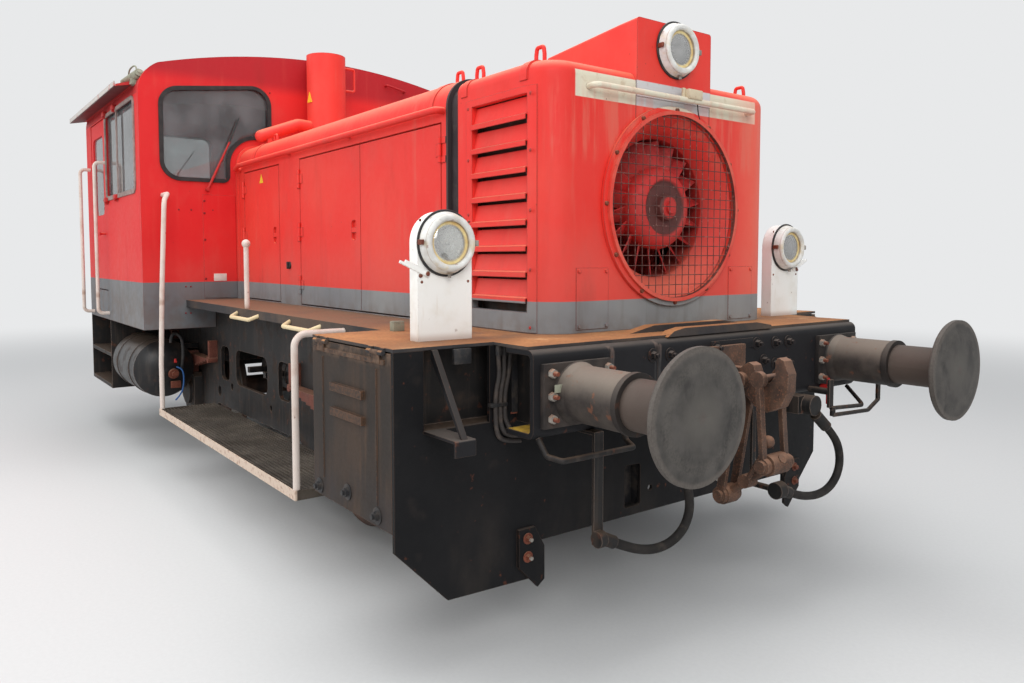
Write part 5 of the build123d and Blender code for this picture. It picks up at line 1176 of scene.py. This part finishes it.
def make_gutter_ends():
    """Spouts at the front ends of the gutters, and the hooks above them."""
    spouts = bmesh.new()
    for side in both_sides:
        add_disc(spouts, (-0.905, side * 1.455, 2.935), (-0.9, side * 0.25, -0.12), 0.034, 0.250, 20,
                 0.020)
        add_disc(spouts, (-0.900, side * 1.452, 2.936), (0.8, 0, 0.6), 0.034, 0.020, 20, 0.018)
        add_disc(spouts, (-0.990, side * 1.472, 2.930), (0, 0, -1), 0.026, 0.070, 16, 0.040)
    add_piece("gutter_spouts", spouts, lichen_grey)
    hook = [(-0.905, 1.470, 2.925), (-0.900, 1.474, 2.975), (-0.960, 1.478, 2.999),
            (-1.060, 1.480, 2.998), (-1.120, 1.480, 2.990), (-1.150, 1.480, 2.950),
            (-1.142, 1.480, 2.926)]
    for side, label in both_sides.items():
        points = [(x, side * y, z) for x, y, z in hook]
        add_bar("gutter_hook_" + label, points, 0.006, lichen_grey)


make_cab_screws()
make_cab_plate()
make_window_clips()
make_gutter_ends()


# Hood

def make_warning_marks():
    """Blank yellow triangles on the rear hood doors and on the exhaust stack."""
    marks = bmesh.new()
    for side in both_sides:
        face = side * 0.7655
        add_plate(marks, [(-0.352, face, 2.122), (-0.272, face, 2.122), (-0.312, face, 2.188)],
                  (0, side * 0.0012, 0))
    add_piece("door_warning_marks", marks, yellow_mark)
    stack = bmesh.new()
    add_plate(stack, [(-0.665, -0.246, 2.820), (-0.600, -0.236, 2.820), (-0.633, -0.2435, 2.902)],
              (0.0012, -0.006, 0))
    add_piece("stack_warning_mark", stack, yellow_mark)


def make_hood_fittings():
    """Lock knobs, screws beside the louvres and bolts of the two hatches."""
    knobs = bmesh.new()
    screws = bmesh.new()
    hatch = bmesh.new()
    for side in both_sides:
        add_disc(knobs, (0.218, side * 0.764, 1.519), (0, side, 0), 0.026, 0.012, 24, 0.024)
        add_slab(knobs, (0.212, side * 0.774, 1.494), (0.224, side * 0.790, 1.544), 0.004)
        for x in (2.436, 2.900):
            for z in (1.275, 1.52, 1.77, 2.02, 2.255):
                add_disc(screws, (x, side * 0.769, z), (0, side, 0), 0.008, 0.004, 12, 0.005)
        for y in (0.428, 0.586):
            for z in (1.277, 1.513):
                add_bolt(hatch, (hood_front_x + 0.004, side * y, z), (1, 0, 0), 0.016, 0.008, False)
    add_piece("hood_lock_knobs", knobs, black_fitting)
    add_piece("hood_screws", screws, hood_screw_red)
    add_piece("hatch_bolts", hatch, finishes["hood_red"])


make_warning_marks()
make_hood_fittings()


# Seats: padded cushions on their pedestals

cloth_voxel = 0.010
cloth_pressure = 4.0
cloth_frames = 20
seat_y = 0.760


def swell(name, low, high, cap):
    """A cushion between two corners, blown up by a cloth simulation and kept inside them."""
    form = bmesh.new()
    low, high = Vector(low), Vector(high)
    inset = Vector((cap, cap, cap))
    add_slab(form, low + inset, high - inset, 0.012)
    for normal in ((1, 0, 0), (0, 1, 0), (0, 0, 1)):
        for share in (0.25, 0.5, 0.75):
            whole = form.verts[:] + form.edges[:] + form.faces[:]
            bmesh.ops.bisect_plane(form, geom=whole, plane_co=low.lerp(high, share), plane_no=normal)
    mesh = bpy.data.meshes.new(name + "_rough")
    form.to_mesh(mesh)
    form.free()
    rough = bpy.data.objects.new(name + "_rough", mesh)
    scene = bpy.context.scene
    scene.collection.objects.link(rough)
    remesh = rough.modifiers.new("remesh", "REMESH")
    remesh.mode = "VOXEL"
    remesh.voxel_size = cloth_voxel
    bpy.context.view_layer.update()
    start = settled(rough)
    before = [vertex.co.copy() for vertex in start.vertices]
    pad = bpy.data.objects.new(name + "_pad", start)
    scene.collection.objects.link(pad)
    cloth = pad.modifiers.new("cloth", "CLOTH")
    cloth.settings.use_pressure = True
    cloth.settings.uniform_pressure_force = cloth_pressure
    cloth.settings.effector_weights.gravity = 0.0
    for number in range(1, cloth_frames + 1):
        scene.frame_set(number)
    blown = settled(pad)
    scene.frame_set(1)
    for vertex, old in zip(blown.vertices, before):
        moved = vertex.co - old
        if moved.length > cap:
            vertex.co = old + moved.normalized() * cap
        vertex.co = Vector(map(max, low, map(min, high, vertex.co)))
    return blown


def make_cushion(name, mesh, shift_y):
    """One padded piece from a swollen mesh, moved across by shift_y."""
    own = mesh.copy()
    own.transform(Matrix.Translation((0, shift_y, 0)))
    own.name = name
    own.materials.clear()
    own.materials.append(finishes["seat_black"])
    own.polygons.foreach_set("use_smooth", [True] * len(own.polygons))
    made = bpy.data.objects.new(name, own)
    bpy.context.scene.collection.objects.link(made)
    smooth = made.modifiers.new("subdivision", "SUBSURF")
    smooth.levels = smooth.render_levels = 1
    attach(made, "chassis")
    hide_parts("driver_seats")


def make_pedestals():
    """Steel foot, column, pan and back bracket under each seat."""
    steel = bmesh.new()
    x = -1.700
    for side in both_sides:
        y = side * seat_y
        add_disc(steel, (x, y, 1.262), (0, 0, 1), 0.150, 0.014, 40, 0.140)
        add_disc(steel, (x, y, 1.276), (0, 0, 1), 0.050, 0.200, 32)
        add_disc(steel, (x, y, 1.476), (0, 0, 1), 0.036, 0.230, 32)
        add_slab(steel, (x - 0.180, y - 0.180, 1.706), (x + 0.180, y + 0.180, 1.722), 0.004)
        add_slab(steel, (x - 0.225, y - 0.030, 1.712), (x - 0.205, y + 0.030, 1.830), 0.003)
        add_disc(steel, (x, y - 0.04, 1.690), (0.3, -1, 0.1), 0.008, 0.110, 12)
    pedestal = add_piece("seat_pedestals", steel, finishes["desk_grey"])
    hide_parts("driver_seats")


def make_seats():
    """Two seats, each with a simulated seat cushion and back cushion."""
    shapes = {
        "cushion": swell("cushion", (-1.900, -0.960, 1.722), (-1.500, -0.560, 1.800), 0.010),
        "back": swell("back", (-1.950, -0.950, 1.806), (-1.890, -0.570, 2.150), 0.008),
    }
    for label, mesh in shapes.items():
        for side, place in both_sides.items():
            make_cushion(f"seat_{label}_{place}", mesh, (1 + side) * seat_y)
    make_pedestals()


make_seats()


# Desk

def make_desk_fittings():
    """Gauges, switches and the two driving levers on the desk."""
    dark = bmesh.new()
    pale = bmesh.new()
    for number in range(5):
        y = -0.34 + 0.17 * number
        add_disc(dark, (-1.05, y, 2.058), (-0.2, 0, 1), 0.050, 0.012, 32, 0.046)
        add_disc(pale, (-1.0518, y, 2.0695), (-0.2, 0, 1), 0.040, 0.0015, 32)
    for y in (-0.46, 0.46):
        add_disc(dark, (-1.16, y, 2.000), (-0.25, 0, 1), 0.012, 0.130, 16, 0.009)
        add_disc(dark, (-1.195, y, 2.125), (-0.25, 0, 1), 0.022, 0.036, 24, 0.018)
        add_disc(pale, (-1.13, y, 2.010), (-0.3, 0, 1), 0.040, 0.012, 24, 0.032)
    for number in range(8):
        add_disc(pale, (-1.24, -0.28 + 0.08 * number, 1.978), (-0.25, 0, 1), 0.010, 0.018, 12, 0.008)
    add_piece("desk_gauges", dark, black_fitting)
    add_piece("desk_dials", pale, dial_pale)


make_desk_fittings()


# Stage: pale floor, soft light and an even background

backdrop_pale = tone(232, 233, 234)


def seen_by_eye(shader):
    """1 for rays from the camera, mirrors and panes, 0 for rays that gather light."""
    ray = shader.node("LightPath")
    return ray.part("Is Camera Ray") | (ray.part("Is Glossy Ray") | ray.part("Is Transmission Ray"))


def make_sky():
    """Even pale background that lights the scene more softly than it looks."""
    world = bpy.data.worlds.new("soft_sky")
    world.use_nodes = True
    bpy.context.scene.world = world
    sky = Nodes(world.node_tree)
    backdrop = sky.node("Background", {}, {"Color": backdrop_pale, "Strength": 1.0})
    light = sky.node("Background", {}, {"Color": (0.93, 0.96, 1.0, 1.0), "Strength": 0.62})
    sky.close(sky.node("MixShader", {}, {0: seen_by_eye(sky), 1: light, 2: backdrop}), "OutputWorld")


def make_floor():
    """Pale matte floor that fades into the background far away."""
    form = bmesh.new()
    bmesh.ops.create_circle(form, cap_ends=True, segments=96, radius=60.0)
    mesh = bpy.data.meshes.new("floor")
    form.to_mesh(mesh)
    form.free()
    floor = bpy.data.objects.new("floor", mesh)
    bpy.context.scene.collection.objects.link(floor)
    f = Finish("floor_pale")
    grain = f.mix(f.noise(0.02, 3.0), tone(206, 206, 205), tone(214, 214, 213))
    matte = f.node("BsdfDiffuse", {}, {"Color": grain})
    far_away = f.node("Emission", {}, {"Color": backdrop_pale})
    fade = f.step(f.radius(f.x, f.y), 6.0, 16.0) * seen_by_eye(f)
    f.close(f.node("MixShader", {}, {0: fade, 1: matte, 2: far_away}))
    mesh.materials.append(f.material)


def make_light(name, place, aim, size, watts):
    """Soft rectangular lamp at place that shines towards aim."""
    data = bpy.data.lights.new(name, "AREA")
    data.shape = "RECTANGLE"
    data.size, data.size_y = size
    data.energy = watts
    lamp = bpy.data.objects.new(name, data)
    bpy.context.scene.collection.objects.link(lamp)
    lamp.location = place
    lamp.rotation_mode = "QUATERNION"
    lamp.rotation_quaternion = (Vector(aim) - Vector(place)).to_track_quat("-Z", "Y")


make_sky()
make_floor()
make_light("overhead", (1.0, -1.0, 8.5), (0, 0, 1), (9.0, 7.0), 520.0)
make_light("front", (9.5, -4.5, 5.5), (1.5, -0.2, 1.3), (5.0, 4.0), 330.0)
make_light("side", (-1.0, -9.0, 4.5), (0, 0, 1.4), (7.0, 4.0), 260.0)
bpy.context.scene.view_settings.view_transform = "Standard"
